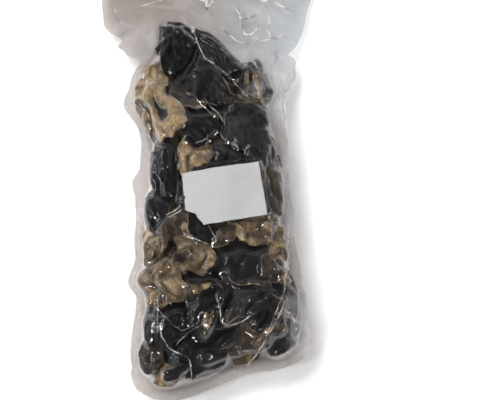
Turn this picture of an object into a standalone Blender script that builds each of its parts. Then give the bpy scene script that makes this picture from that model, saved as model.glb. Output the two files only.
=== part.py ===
"""A vacuum pack of dried wood ear mushrooms, lying on its back. Metres, +Z up, +Y towards the pouch's mouth.

A clear pouch of two films, sealed together all round, is drawn tight over some fifty dried ears and a blank
paper slip. Every ear is first laid on a plain pillow: a flat core with half-round edges, whose surface is
rolled out flat to give the places u (across) and v (along), with a depth under that surface. One smooth
change of shape then turns the pillow, with all that is in it, into the real, uneven pack.
"""

import math
import random
from dataclasses import dataclass

import bmesh
import bpy
from mathutils import Matrix, Vector
from mathutils.bvhtree import BVHTree

MM = 0.001

# Driving dimensions
PACK_WIDTH = 0.142
PACK_LENGTH = 0.345
PACK_THICKNESS = 0.050
POUCH_WIDTH = 0.222
POUCH_LENGTH = 0.438
HEADER = 0.060
FILM_THICKNESS = 0.0004
SLIP_WIDTH = 0.076
SLIP_HEIGHT = 0.049
SLIP_THICKNESS = 0.0004
SLIP_TURN = math.radians(8)
SLIP_PLACE = (0.010, -0.002)

# What follows from them
EDGE = PACK_THICKNESS / 2
CORE_X = PACK_WIDTH / 2 - EDGE
CORE_Y = PACK_LENGTH / 2 - EDGE
QUARTER = EDGE * math.pi / 2
V_MOUTH = CORE_Y + QUARTER + HEADER
V_FOOT = V_MOUTH - POUCH_LENGTH

# Clearances
FILM_CLEAR = 0.6 * MM
SEAM_GAP = 0.4 * MM
SLIP_DEPTH = 0.9 * MM
EAR_DEPTH = 1.3 * MM
EAR_CLEAR = 1.0 * MM
ROOM_SHARE = 0.6
THINNEST = 0.3 * MM
LOOK_ROUND = 6.5 * MM
LOOK_SHARE = 0.155

# How much of the film past the content still lies flat along each side, as (v, share), up to the header. The
# rest is crumpled in. The same share at the foot, and at its corners
MARGIN_LEFT = [
    (-0.015, 0.07), (0.0, 0.16), (0.018, 0.37), (0.031, 0.10), (0.065, 0.06), (0.089, 0.23), (0.105, 0.06),
    (0.128, 0.06), (0.143, 0.70), (0.150, 0.84), (0.160, 0.72), (0.178, 1.0),
]
MARGIN_RIGHT = [
    (-0.146, 0.24), (-0.12, 0.12), (-0.105, 0.13), (-0.08, 0.08), (-0.045, 0.06), (-0.012, 0.14), (0.0, 0.08),
    (0.09, 0.07), (0.105, 0.12), (0.12, 0.28), (0.135, 0.51), (0.15, 0.63), (0.18, 0.58), (0.205, 0.42),
    (0.222, 0.82), (0.247, 1.0),
]
FOOT_KEEP = 0.5
CORNER_KEEP = 0.14

# The ear's net: rings from its middle to its rim, and points round each ring
RINGS = (0.0, 0.45, 0.8, 1.0)
RIM_POINTS = 10

DARK = ("dark_face", (0.022, 0.019, 0.022), 0.42)
FELT = ("felt_back", (0.42, 0.32, 0.20), 0.95)
BROWN = ("brown_face", (0.09, 0.055, 0.042), 0.65)
FILM = ("clear_film", (0.86, 0.86, 0.85), 0.12)
PAPER = ("slip_paper", (0.82, 0.82, 0.80), 0.80)


@dataclass
class Ear:
    """One dried ear: its place and size on the rolled-out pack in millimetres, its turn in degrees, its upper
    face, how deep it lies under the film, how thick it is and how deep it may reach."""

    name: str
    u: float
    v: float
    length: float
    width: float
    turn: float
    face: tuple = DARK
    lift: float = 0.0
    thick: float = 9.0
    deepest: float = 21.5


# The ears that show through the front film, topmost first
FRONT_EARS = [
    Ear("ear_rolled_cup", -55, 81, 58, 50, 60, FELT, 0.0, 12.0),
    Ear("ear_hood", -40, 151, 62, 54, 100, DARK, 0.0, 13.0),
    Ear("ear_crown", -6, 120, 70, 48, -60, DARK, 0.0, 11.0),
    Ear("ear_top_edge", 9, 158, 66, 50, -35, DARK, 0.5, 9.0),
    Ear("ear_buff_top", -54, 114, 40, 34, 80, FELT, 1.0, 8.0),
    Ear("ear_tan_lip", -16, 100, 50, 34, -35, BROWN, 1.0, 8.0),
    Ear("ear_right_top", 37, 138, 64, 54, -40, DARK, 0.0, 11.0),
    Ear("ear_spike", 73, 138, 60, 40, 100, DARK, 0.5, 9.0),
    Ear("ear_mid_black", -14, 68, 54, 46, 90, DARK, 0.5, 10.0),
    Ear("ear_broad_right", 44, 66, 82, 56, 100, DARK, 0.0, 12.0),
    Ear("ear_long_fold", 15, 64, 76, 40, 95, DARK, 1.0, 9.0),
    Ear("ear_buff_over_slip", -21, 39, 40, 32, 70, FELT, 0.3, 9.0),
    Ear("ear_teardrop", -57, 32, 70, 50, 100, DARK, 0.0, 12.0),
    Ear("ear_left_crumple", -80, 86, 48, 34, 80, FELT, 0.8, 8.0),
    Ear("ear_buff_right", 42, -30, 44, 32, 10, FELT, 1.0, 8.0),
    Ear("ear_right_side", 66, 16, 74, 46, 98, BROWN, 0.5, 10.0),
    Ear("ear_left_of_slip", -62, -6, 58, 56, 80, DARK, 1.0, 10.0),
    Ear("ear_under_slip", 7, -2, 88, 72, 10, DARK, 1.6, 10.0),
    Ear("ear_fan", -19, -50, 50, 40, -70, FELT, 0.0, 9.0),
    Ear("ear_buff_left", -62, -37, 50, 44, 30, FELT, 0.2, 11.0),
    Ear("ear_round", 23, -60, 56, 50, 20, DARK, 0.0, 10.0),
    Ear("ear_mottled", -56, -77, 66, 52, 15, FELT, 0.3, 11.0),
    Ear("ear_right_crumple", 64, -36, 50, 36, 70, FELT, 0.6, 9.0),
    Ear("ear_pocket", 58, -62, 42, 36, 90, BROWN, 0.8, 8.0),
    Ear("ear_ridge", -10, -105, 54, 28, 85, BROWN, 0.3, 9.0),
    Ear("ear_mid_low", -12, -80, 50, 38, 80, DARK, 1.2, 9.0),
    Ear("ear_black_left", -52, -111, 68, 54, -20, DARK, 0.0, 12.0),
    Ear("ear_curved", 42, -119, 50, 32, 70, DARK, 0.0, 9.0),
    Ear("ear_big_low", 16, -99, 62, 54, 40, DARK, 0.8, 10.0),
    Ear("ear_right_edge", 74, -90, 62, 46, 95, DARK, 0.5, 10.0),
    Ear("ear_long_low", -9, -144, 70, 44, 65, DARK, 0.0, 12.0),
    Ear("ear_rust", 29, -146, 48, 40, 60, BROWN, 0.4, 9.0),
    Ear("ear_corner", 62, -150, 60, 48, 40, DARK, 0.5, 10.0),
    Ear("ear_left_lobes", -68, -139, 46, 40, 60, BROWN, 0.3, 10.0),
    Ear("ear_buff_low", -52, -157, 46, 34, -20, FELT, 0.0, 9.0),
    Ear("ear_black_low", -34, -134, 44, 40, 30, DARK, 1.5, 9.0),
    Ear("ear_low_right", 23.5, -166, 56, 40, 10, FELT, 0.8, 8.0),
]

# The ears that show through the back film lie in rows across it
BACK_ROWS = 5
BACK_COLUMNS = 3
BACK_PITCH_U = 46.0
BACK_PITCH_V = 62.0
BACK_LENGTH = 68.0
BACK_WIDTH = 56.0
BACK_THICK = 15.0

# The ears in the middle of the pack, which no film touches
INNER_PITCH = 72.0
INNER_COUNT = 4
INNER_LENGTH = 62.0
INNER_WIDTH = 66.0
INNER_DEPTH = 15.0
INNER_THICK = 9.0
INNER_DEEPEST = 24.2


def smooth(low, high, x):
    """0 below low, 1 above high, and a smooth rise between."""
    t = min(1.0, max(0.0, (x - low) / (high - low)))
    return t * t * (3 - 2 * t)


def along(stations, y):
    """A value that passes smoothly through (y, value) stations."""
    for (y0, value0), (y1, value1) in zip(stations, stations[1:]):
        if y <= y1:
            return value0 + (value1 - value0) * smooth(y0, y1, y)
    return stations[-1][1]


# How the real pack departs from the pillow, from its foot to the pouch's mouth
WIDTH_STATIONS = [
    (-0.17, 0.97), (-0.135, 1.0), (-0.09, 0.965), (-0.075, 1.0), (-0.05, 0.95), (-0.02, 0.92), (0.03, 0.89),
    (0.068, 0.89), (0.09, 0.95), (0.112, 0.927), (0.15, 0.77), (0.18, 0.86), (0.24, 1.0),
]
CENTRE_STATIONS = [
    (-0.15, 0.0035), (-0.135, 0.0026), (-0.09, 0.0038), (-0.075, -0.0012), (-0.055, 0.0005), (-0.03, -0.0025),
    (0.05, -0.0024), (0.10, -0.0129), (0.15, -0.007), (0.18, -0.0115), (0.20, -0.0125), (0.24, -0.0085),
]
THICK_STATIONS = [(-0.187, 0.78), (-0.105, 1.0), (0.06, 1.02), (0.172, 0.80)]
TOP_STEP = 0.028
TOP_RISE = 0.010
FOOT_STEP = 0.026
BUMP = 0.035
HOVER = 2.5 * MM
DROP_REACH = 45 * MM
HEADER_WAVE = 3.5 * MM


def real_pack(x, y, z, out=0.0):
    """A point of the pillow, moved to its place in the real pack. out is how far outside its content it is."""
    wide = along(WIDTH_STATIONS, y)
    wide += (1 - wide) * smooth(0, 0.03, out) * smooth(0.10, 0.16, y)
    middle = along(CENTRE_STATIONS, y)
    thick = along(THICK_STATIONS, y)
    thick *= 1 + BUMP * math.sin(x / 0.013 + 1.3) * math.cos(y / 0.017) + BUMP * math.sin(y / 0.021 + x / 0.03)
    top = smooth(0.05, 0.172, y) * (1 - smooth(0.18, 0.24, y))
    top_step = (TOP_STEP * smooth(-0.005, 0.04, x) - TOP_RISE * (1 - smooth(-0.026, -0.002, x))) * top
    foot_step = FOOT_STEP * smooth(-0.05, 0.04, x) * smooth(0.06, 0.172, -y)
    base = EDGE + FILM_CLEAR + FILM_THICKNESS
    fall = (base * thick - HOVER) * smooth(0, DROP_REACH, out)
    wave = HEADER_WAVE * smooth(0.012, 0.045, out) * (1 + math.sin(x / 0.014 + 2.0) * math.cos(y / 0.03))
    return Vector((middle + x * wide, y - top_step + foot_step, (z + base) * thick - fall + wave))


def rolled_out(u, v):
    """The core point under a rolled-out place, the way outwards from it, and the reach past the core's edge."""
    core = Vector((min(CORE_X, max(-CORE_X, u)), min(CORE_Y, max(-CORE_Y, v))))
    reach = Vector((u, v)) - core
    length = reach.length
    return core, (reach / length if length > 1e-9 else Vector((0.0, 0.0))), length


def on_pillow(u, v, depth, side):
    """The pillow's point under (u, v) at that depth, on its front (side 1) or its back (side -1)."""
    core, way, reach = rolled_out(u, v)
    angle, straight, most = reach / EDGE, 1.15, 1.52
    if angle > straight:
        angle = straight + (most - straight) * (1 - math.exp(-(angle - straight) / (most - straight)))
    radius = EDGE - depth
    across = way * math.sin(angle) * radius
    return Vector((core.x + across.x, core.y + across.y, side * math.cos(angle) * radius))


# --- the ears ------------------------------------------------------------


def ear_outline(rng):
    """The rim's radius round an ear, as a share of its half size: a few broad lobes and one shallow notch."""
    waves = [(2, 0.07), (3, 0.08), (5, 0.05)]
    phases = [rng.uniform(0, math.tau) for _ in waves]
    notch = rng.uniform(0, math.tau)

    def radius(angle):
        lobes = sum(size * math.cos(count * angle + phase) for (count, size), phase in zip(waves, phases))
        return 1 + lobes - 0.16 * math.exp(-((math.remainder(angle - notch, math.tau) / 0.45) ** 2))

    return radius


def ear_relief(rng, length, face):
    """How far an ear's upper face lies under its highest point, from its folds and its falling rim."""
    fold_way = rng.uniform(0, math.pi)
    fold_phase = rng.uniform(0, math.tau)
    fold_pitch = length * rng.uniform(0.42, 0.6)
    fold = 2.6 * MM if face is FELT else 2.0 * MM
    fall = 2.4 * MM

    def depth(a, b, share):
        across = a * math.cos(fold_way) + b * math.sin(fold_way)
        return fold * (0.5 - 0.5 * math.cos(math.tau * across / fold_pitch + fold_phase)) + fall * share**3

    return depth


class Column:
    """The stack of what has been laid so far on one side of the pillow."""

    def __init__(self, side):
        self.side = side
        self.points = []
        self.faces = []
        self.tree = None

    def add(self, points, faces):
        first = len(self.points)
        self.points += points
        self.faces += [[first + i for i in face] for face in faces]
        self.tree = BVHTree.FromPolygons(self.points, self.faces)

    def depth_at(self, u, v):
        """How deep the stack reaches under (u, v), and 0 where nothing lies."""
        if self.tree is None:
            return 0.0
        core, inside = on_pillow(u, v, EDGE, self.side), on_pillow(u, v, 0.0, self.side)
        way = (inside - core).normalized()
        hit = self.tree.ray_cast(core, way, EDGE)
        return EDGE - hit[3] if hit[0] is not None else 0.0

    def cover(self, u, v, around):
        """The deepest that the stack reaches within that distance of (u, v)."""
        found = self.depth_at(u, v)
        for step in range(8):
            angle = math.tau * step / 8
            for far in (around / 3, around * 2 / 3, around):
                found = max(found, self.depth_at(u + far * math.cos(angle), v + far * math.sin(angle)))
        return found


def ear_net(ear, side, column, rng):
    """The points and faces of one ear: an upper and a lower skin that meet at its rim."""
    radius = ear_outline(rng)
    relief = ear_relief(rng, ear.length * MM, ear.face)
    turn = math.radians(ear.turn) * side
    around = max(LOOK_ROUND, LOOK_SHARE * ear.length * MM)
    upper, lower = [], []
    for share in RINGS:
        for step in range(RIM_POINTS if share > 0 else 1):
            angle = math.tau * step / RIM_POINTS
            a = share * radius(angle) * ear.length / 2 * MM * math.cos(angle)
            b = share * radius(angle) * ear.width / 2 * MM * math.sin(angle)
            u = ear.u * MM + a * math.cos(turn) - b * math.sin(turn)
            v = ear.v * MM + a * math.sin(turn) + b * math.cos(turn)
            depth = EAR_DEPTH + ear.lift * MM + relief(a, b, share)
            covered = column.cover(u, v, around)
            if covered > 0:
                depth = max(depth, covered + EAR_CLEAR)
            thick = 1.0 * MM + ear.thick * MM * (1 - share**2) ** 0.8
            below = depth + max(THINNEST, min(thick, ROOM_SHARE * (ear.deepest * MM - depth)))
            upper.append(on_pillow(u, v, depth, side))
            if share < 1:
                lower.append(on_pillow(u, v, below, side))
    return upper + lower, net_faces(len(upper))


def net_faces(upper_count):
    """Triangles between the rings of an ear's two skins. The rim's ring belongs to both."""
    count = RIM_POINTS
    rings = len(RINGS) - 1

    def upper(ring, step):
        return 0 if ring == 0 else 1 + (ring - 1) * count + step % count

    def lower(ring, step):
        return upper(ring, step) if ring == rings else upper_count + upper(ring, step)

    faces = []
    for point, turn in ((upper, 1), (lower, -1)):
        for step in range(count):
            faces.append([point(0, 0), point(1, step), point(1, step + 1)][::turn])
            for ring in range(1, rings):
                inner, outer = point(ring, step), point(ring + 1, step)
                next_inner, next_outer = point(ring, step + 1), point(ring + 1, step + 1)
                faces.append([inner, outer, next_outer][::turn])
                faces.append([inner, next_outer, next_inner][::turn])
    return faces


def lay_ears(ears, side, column):
    """Lays the ears of one side in order, each under those before it, and makes their objects."""
    for number, ear in enumerate(ears):
        points, faces = ear_net(ear, side, column, random.Random(f"{ear.name} {number}"))
        column.add(points, faces)
        make_object(ear.name, [real_pack(*p) for p in points], faces, ear.face)


def back_ears():
    """The ears against the back film, in staggered rows."""
    rng = random.Random(4)
    ears = []
    for row in range(BACK_ROWS):
        for column in range(BACK_COLUMNS):
            number = row * BACK_COLUMNS + column
            u = (column - (BACK_COLUMNS - 1) / 2) * BACK_PITCH_U + rng.uniform(-5, 5)
            v = (row - (BACK_ROWS - 1) / 2) * BACK_PITCH_V + (column % 2) * 12 - 5 + rng.uniform(-6, 6)
            face = (DARK, FELT, DARK, BROWN, FELT)[(number * 3) % 5]
            size = rng.uniform(0.9, 1.08)
            ears.append(
                Ear(
                    f"ear_back_{number + 1:02d}", u, v, BACK_LENGTH * size, BACK_WIDTH * size,
                    rng.uniform(0, 180), face, rng.uniform(0, 1), BACK_THICK,
                )
            )
    return ears


def inner_ears():
    """The ears in the middle of the pack, along its length."""
    return [
        Ear(
            f"ear_inner_{number + 1}", 0, (number - (INNER_COUNT - 1) / 2) * INNER_PITCH,
            INNER_LENGTH, INNER_WIDTH, 0, BROWN, INNER_DEPTH, INNER_THICK, INNER_DEEPEST,
        )
        for number in range(INNER_COUNT)
    ]


# --- the pouch and the slip ------------------------------------------------------------


def film_point(u, v, offset, side):
    """A point of a film, that far outside the pillow: over its edge, then out along the sealed rim."""
    core, way, reach = rolled_out(u, v)
    leave, bridge, run = math.radians(78), 5.5 * MM, 2.6 * MM
    start = EDGE * leave
    level = SEAM_GAP / 2 + offset - FILM_CLEAR
    if reach <= start:
        angle = reach / EDGE
        out, height = (EDGE + offset) * math.sin(angle), (EDGE + offset) * math.cos(angle)
    else:
        t = min(1.0, (reach - start) / bridge)
        x0, z0 = (EDGE + offset) * math.sin(leave), (EDGE + offset) * math.cos(leave)
        x1, z1 = x0 + 0.5 * run * math.cos(leave), z0 - 0.5 * run * math.sin(leave)
        x3, z3 = x0 + run, level
        x2, z2 = x3 - 0.5 * run, level
        weights = ((1 - t) ** 3, 3 * t * (1 - t) ** 2, 3 * t * t * (1 - t), t**3)
        out = sum(w * x for w, x in zip(weights, (x0, x1, x2, x3)))
        height = sum(w * z for w, z in zip(weights, (z0, z1, z2, z3)))
        out += max(0.0, reach - start - bridge)
    place = core + way * out
    return real_pack(place.x, place.y, side * height, max(0.0, out - EDGE - 3 * MM))


def stations(low, core_low, core_high, high, low_steps, core_steps, high_steps):
    """Places across the rolled-out film, closer where it bends."""
    cuts = [low + (core_low - low) * i / low_steps for i in range(low_steps)]
    cuts += [core_low + (core_high - core_low) * i / core_steps for i in range(core_steps)]
    return cuts + [core_high + (high - core_high) * i / high_steps for i in range(high_steps + 1)]


def drawn_in(u, v):
    """Draws the rim in: closely along the sides and round the foot, hardly in the header."""
    core, way, reach = rolled_out(u, v)
    past = reach - QUARTER
    if past <= 0:
        return u, v
    keep = along(MARGIN_RIGHT if u > 0 else MARGIN_LEFT, v)
    foot = FOOT_KEEP + (CORNER_KEEP - FOOT_KEEP) * smooth(0.035, 0.060, abs(u))
    keep += (foot - keep) * smooth(0, 0.012, -CORE_Y - v)
    place = core + way * (QUARTER + past * keep)
    return place.x, place.y


def film_skins(side):
    """The inner and the outer skin of one film, as rows of points."""
    half = POUCH_WIDTH / 2
    across = stations(-half, -CORE_X, CORE_X, half, 5, 4, 5)
    lengthwise = stations(V_FOOT, -CORE_Y, CORE_Y, V_MOUTH, 5, 16, 8)
    skins = []
    for offset in (FILM_CLEAR, FILM_CLEAR + FILM_THICKNESS):
        skins.append([[film_point(*drawn_in(u, v), offset, side) for u in across] for v in lengthwise])
    return skins


def make_film(name, side):
    """One film of the pouch, a thin sheet with its two skins joined round the rim."""
    inner, outer = film_skins(side)
    rows, columns = len(inner), len(inner[0])
    points = [p for skin in (inner, outer) for row in skin for p in row]

    def at(skin, row, column):
        return skin * rows * columns + row * columns + column

    faces = []
    for row in range(rows - 1):
        for column in range(columns - 1):
            for skin, turn in ((0, -side), (1, side)):
                square = [(row, column), (row, column + 1), (row + 1, column + 1), (row + 1, column)]
                faces.append([at(skin, *corner) for corner in square][::turn])
    rim = [(0, c) for c in range(columns)] + [(r, columns - 1) for r in range(1, rows)]
    rim += [(rows - 1, c) for c in range(columns - 2, -1, -1)] + [(r, 0) for r in range(rows - 2, 0, -1)]
    for start, end in zip(rim, rim[1:] + rim[:1]):
        faces.append([at(0, *start), at(0, *end), at(1, *end), at(1, *start)][::side])
    make_object(name, points, faces, FILM)


def make_slip(column):
    """The blank paper slip between the front film and the ears."""
    columns, rows = 7, 5
    points = []
    for depth in (SLIP_DEPTH, SLIP_DEPTH + SLIP_THICKNESS):
        for row in range(rows + 1):
            for step in range(columns + 1):
                a = (step / columns - 0.5) * SLIP_WIDTH
                b = (row / rows - 0.5) * SLIP_HEIGHT
                u = SLIP_PLACE[0] + a * math.cos(SLIP_TURN) - b * math.sin(SLIP_TURN)
                v = SLIP_PLACE[1] + a * math.sin(SLIP_TURN) + b * math.cos(SLIP_TURN)
                points.append(on_pillow(u, v, depth, 1))
    skin = (rows + 1) * (columns + 1)
    faces = []
    for row in range(rows):
        for step in range(columns):
            first = row * (columns + 1) + step
            square = [first, first + 1, first + columns + 2, first + columns + 1]
            faces.append(square)
            faces.append([skin + i for i in square][::-1])
    rim = list(range(columns + 1)) + [(columns + 1) * (r + 1) + columns for r in range(rows)]
    rim += [rows * (columns + 1) + c for c in range(columns - 1, -1, -1)]
    rim += [(columns + 1) * r for r in range(rows - 1, 0, -1)]
    for start, end in zip(rim, rim[1:] + rim[:1]):
        faces.append([start, skin + start, skin + end, end])
    column.add(points, faces)
    make_object("paper_slip", [real_pack(*p) for p in points], faces, PAPER)


# --- objects and materials ------------------------------------------------------------


def material(finish):
    """The material of that name, made once."""
    name, colour, roughness = finish
    found = bpy.data.materials.get(name)
    if found is None:
        found = bpy.data.materials.new(name)
        found.use_nodes = True
        shader = found.node_tree.nodes["Principled BSDF"]
        shader.inputs["Base Color"].default_value = (*colour, 1.0)
        shader.inputs["Roughness"].default_value = roughness
        if finish is FILM:
            shader.inputs["Alpha"].default_value = 0.2
    return found


def make_object(name, points, faces, finish):
    """A closed mesh object, smooth but for its sharp rim."""
    mesh = bpy.data.meshes.new(name)
    shell = bmesh.new()
    corners = [shell.verts.new(p) for p in points]
    for face in faces:
        shell.faces.new([corners[i] for i in face])
    bmesh.ops.triangulate(shell, faces=shell.faces)
    bmesh.ops.recalc_face_normals(shell, faces=shell.faces)
    shell.to_mesh(mesh)
    shell.free()
    mesh.shade_smooth()
    mesh.set_sharp_from_angle(angle=math.radians(60))
    mesh.materials.append(material(finish))
    thing = bpy.data.objects.new(name, mesh)
    bpy.context.scene.collection.objects.link(thing)
    return thing


def centre_on_origin():
    """Moves every mesh so that the pack's box stands centred on the origin."""
    meshes = [thing.data for thing in bpy.data.objects]
    corners = [corner.co for mesh in meshes for corner in mesh.vertices]
    middle_x = (min(c.x for c in corners) + max(c.x for c in corners)) / 2
    middle_y = (min(c.y for c in corners) + max(c.y for c in corners)) / 2
    for mesh in meshes:
        mesh.transform(Matrix.Translation((-middle_x, -middle_y, 0.0)))


def main():
    for thing in list(bpy.data.objects):
        bpy.data.objects.remove(thing)
    front, back = Column(1), Column(-1)
    make_slip(front)
    lay_ears(FRONT_EARS + inner_ears(), 1, front)
    lay_ears(back_ears(), -1, back)
    make_film("film_front", 1)
    make_film("film_back", -1)
    centre_on_origin()


main()
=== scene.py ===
"""The looks of a vacuum pack of dried wood ear mushrooms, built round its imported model. Metres, +Z up.

The pack is first laid out on a plain pillow, whose surface is rolled out flat: u runs across it, v along it,
and depth goes down into it. Ears and slip are stacked in that space on square maps, and the films are drawn
down over them. The films' rims are then drawn in, and one smooth change of shape turns the pillow into the
real, uneven pack. The sheets keep their lengths in the rolled-out space only: both of these narrow them.
"""

import functools
import math
import random
from dataclasses import dataclass

import bpy
import numpy as np
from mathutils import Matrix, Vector


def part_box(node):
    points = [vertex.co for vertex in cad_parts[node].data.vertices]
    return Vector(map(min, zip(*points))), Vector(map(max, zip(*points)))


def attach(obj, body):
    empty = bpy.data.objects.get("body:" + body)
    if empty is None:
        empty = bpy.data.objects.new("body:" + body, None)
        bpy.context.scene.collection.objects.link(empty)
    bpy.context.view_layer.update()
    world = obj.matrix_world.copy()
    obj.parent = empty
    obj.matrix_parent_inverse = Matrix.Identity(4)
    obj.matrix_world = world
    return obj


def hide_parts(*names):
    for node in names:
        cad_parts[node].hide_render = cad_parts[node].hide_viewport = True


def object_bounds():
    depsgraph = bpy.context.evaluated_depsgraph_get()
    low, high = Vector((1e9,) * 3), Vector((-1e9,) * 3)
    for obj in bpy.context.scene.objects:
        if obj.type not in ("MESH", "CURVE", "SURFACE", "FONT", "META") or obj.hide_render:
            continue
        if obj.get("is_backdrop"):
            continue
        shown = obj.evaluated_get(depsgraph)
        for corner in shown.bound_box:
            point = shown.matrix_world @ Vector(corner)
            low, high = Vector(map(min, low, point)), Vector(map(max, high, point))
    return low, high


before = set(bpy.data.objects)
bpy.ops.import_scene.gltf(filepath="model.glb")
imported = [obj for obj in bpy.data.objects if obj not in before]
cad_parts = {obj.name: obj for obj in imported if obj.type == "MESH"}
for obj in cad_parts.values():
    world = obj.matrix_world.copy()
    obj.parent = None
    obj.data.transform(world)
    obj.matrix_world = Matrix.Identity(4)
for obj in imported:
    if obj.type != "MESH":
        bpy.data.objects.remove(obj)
CAD_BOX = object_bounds()

bl_info = {
    "name": "Wood Ear Vacuum Pack",
    "version": (1, 0, 0),
    "blender": (4, 5, 0),
    "location": "View3D > Sidebar > Wood Ear Pack",
    "description": "Builds dried wood ears, a paper slip and the clear films drawn tight over them",
    "category": "Add Mesh",
}

MM = 0.001

# The pillow and the pouch, as in the part's source
PACK_WIDTH, PACK_LENGTH, PACK_THICKNESS = 0.142, 0.345, 0.050
POUCH_WIDTH, POUCH_LENGTH, HEADER = 0.222, 0.438, 0.060
SLIP_WIDTH, SLIP_HEIGHT, SLIP_THICKNESS = 0.076, 0.049, 0.0004
SLIP_TURN, SLIP_PLACE, SLIP_DEPTH = math.radians(8), (0.010, -0.002), 0.9 * MM
EDGE = PACK_THICKNESS / 2
CORE_X, CORE_Y = PACK_WIDTH / 2 - EDGE, PACK_LENGTH / 2 - EDGE
QUARTER = EDGE * math.pi / 2
V_MOUTH = CORE_Y + QUARTER + HEADER
V_FOOT = V_MOUTH - POUCH_LENGTH
FILM_CLEAR, FILM_THICKNESS, SEAM_GAP = 0.6 * MM, 0.4 * MM, 0.4 * MM
EAR_DEPTH, THINNEST, ROOM_SHARE = 1.3 * MM, 0.3 * MM, 0.6
MARGIN_LEFT = [
    (-0.015, 0.07), (0.0, 0.16), (0.018, 0.37), (0.031, 0.10), (0.065, 0.06), (0.089, 0.23), (0.105, 0.06),
    (0.128, 0.06), (0.143, 0.70), (0.150, 0.84), (0.160, 0.72), (0.178, 1.0),
]
MARGIN_RIGHT = [
    (-0.146, 0.24), (-0.12, 0.12), (-0.105, 0.13), (-0.08, 0.08), (-0.045, 0.06), (-0.012, 0.14), (0.0, 0.08),
    (0.09, 0.07), (0.105, 0.12), (0.12, 0.28), (0.135, 0.51), (0.15, 0.63), (0.18, 0.58), (0.205, 0.42),
    (0.222, 0.82), (0.247, 1.0),
]
FOOT_KEEP, CORNER_KEEP = 0.5, 0.14
WIDTH_STATIONS = [
    (-0.17, 0.97), (-0.135, 1.0), (-0.09, 0.965), (-0.075, 1.0), (-0.05, 0.95), (-0.02, 0.92), (0.03, 0.89),
    (0.068, 0.89), (0.09, 0.95), (0.112, 0.927), (0.15, 0.77), (0.18, 0.86), (0.24, 1.0),
]
CENTRE_STATIONS = [
    (-0.15, 0.0035), (-0.135, 0.0026), (-0.09, 0.0038), (-0.075, -0.0012), (-0.055, 0.0005), (-0.03, -0.0025),
    (0.05, -0.0024), (0.10, -0.0129), (0.15, -0.007), (0.18, -0.0115), (0.20, -0.0125), (0.24, -0.0085),
]
THICK_STATIONS = [(-0.187, 0.78), (-0.105, 1.0), (0.06, 1.02), (0.172, 0.80)]
TOP_STEP, TOP_RISE, FOOT_STEP, BUMP = 0.028, 0.010, 0.026, 0.035
HOVER, DROP_REACH, HEADER_WAVE = 2.5 * MM, 45 * MM, 3.5 * MM

# The square maps that the ears are stacked on, and how one ear lies on the next
CELL = 1.0 * MM
MAP_U, MAP_V = 0.102, 0.216
NO_COVER, GAP_DEPTH = -3 * MM, 13 * MM
EAR_GAP, BACK_DEPTH, SIDE_FALL = 0.35 * MM, -0.7 * MM, 4.5 * MM
SETTLE_SLOPE, SETTLE_STEPS = 0.42, 9

# How the films lie: their gap to the ears, how far they sag between them, the most that they stand out, the
# share of a slide that the ears' grip undoes, and the rounds and first press of the coarse and fine settling
FILM_GAP, FILM_SAG, MOST_OUT, FILM_GRIP = 0.35 * MM, 0.2 * MM, 4 * MM, 0.6
COARSE_SETTLING, FINE_SETTLING = (160, 0.22 * MM), (200, 0.07 * MM)

# How thick the slip is, and how far above the front film its lines are before they are laid on it
PAPER_THICKNESS, FILM_DROP = 0.15 * MM, 8 * MM

# The nets: rings from an ear's middle to its rim and points round it, and the film's rows and columns
UPPER_RINGS, LOWER_RINGS, RIM_POINTS = 26, 7, 112
FILM_COLUMNS, FILM_ROWS = 153, 321

DARK, FELT, BROWN = "dark_face", "felt_back", "brown_face"


@dataclass
class Ear:
    """One dried ear: its node, its place and size on the rolled-out pack in millimetres, its turn in degrees,
    its upper face, how deep it lies, how thick it is, the width of the felt rim where it curls up, which way
    that is from its middle in degrees, how far its middle is cupped, how deep its lower face may lie, how
    folded it is, and how light its skin is."""

    node: str
    u: float
    v: float
    length: float
    width: float
    turn: float
    face: str = DARK
    lift: float = 0.0
    thick: float = 9.0
    rim: float = 1.0
    lip: float = -90.0
    cup: float = 0.0
    deepest: float = 21.5
    folds: float = 1.0
    tone: float = 0.4


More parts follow.
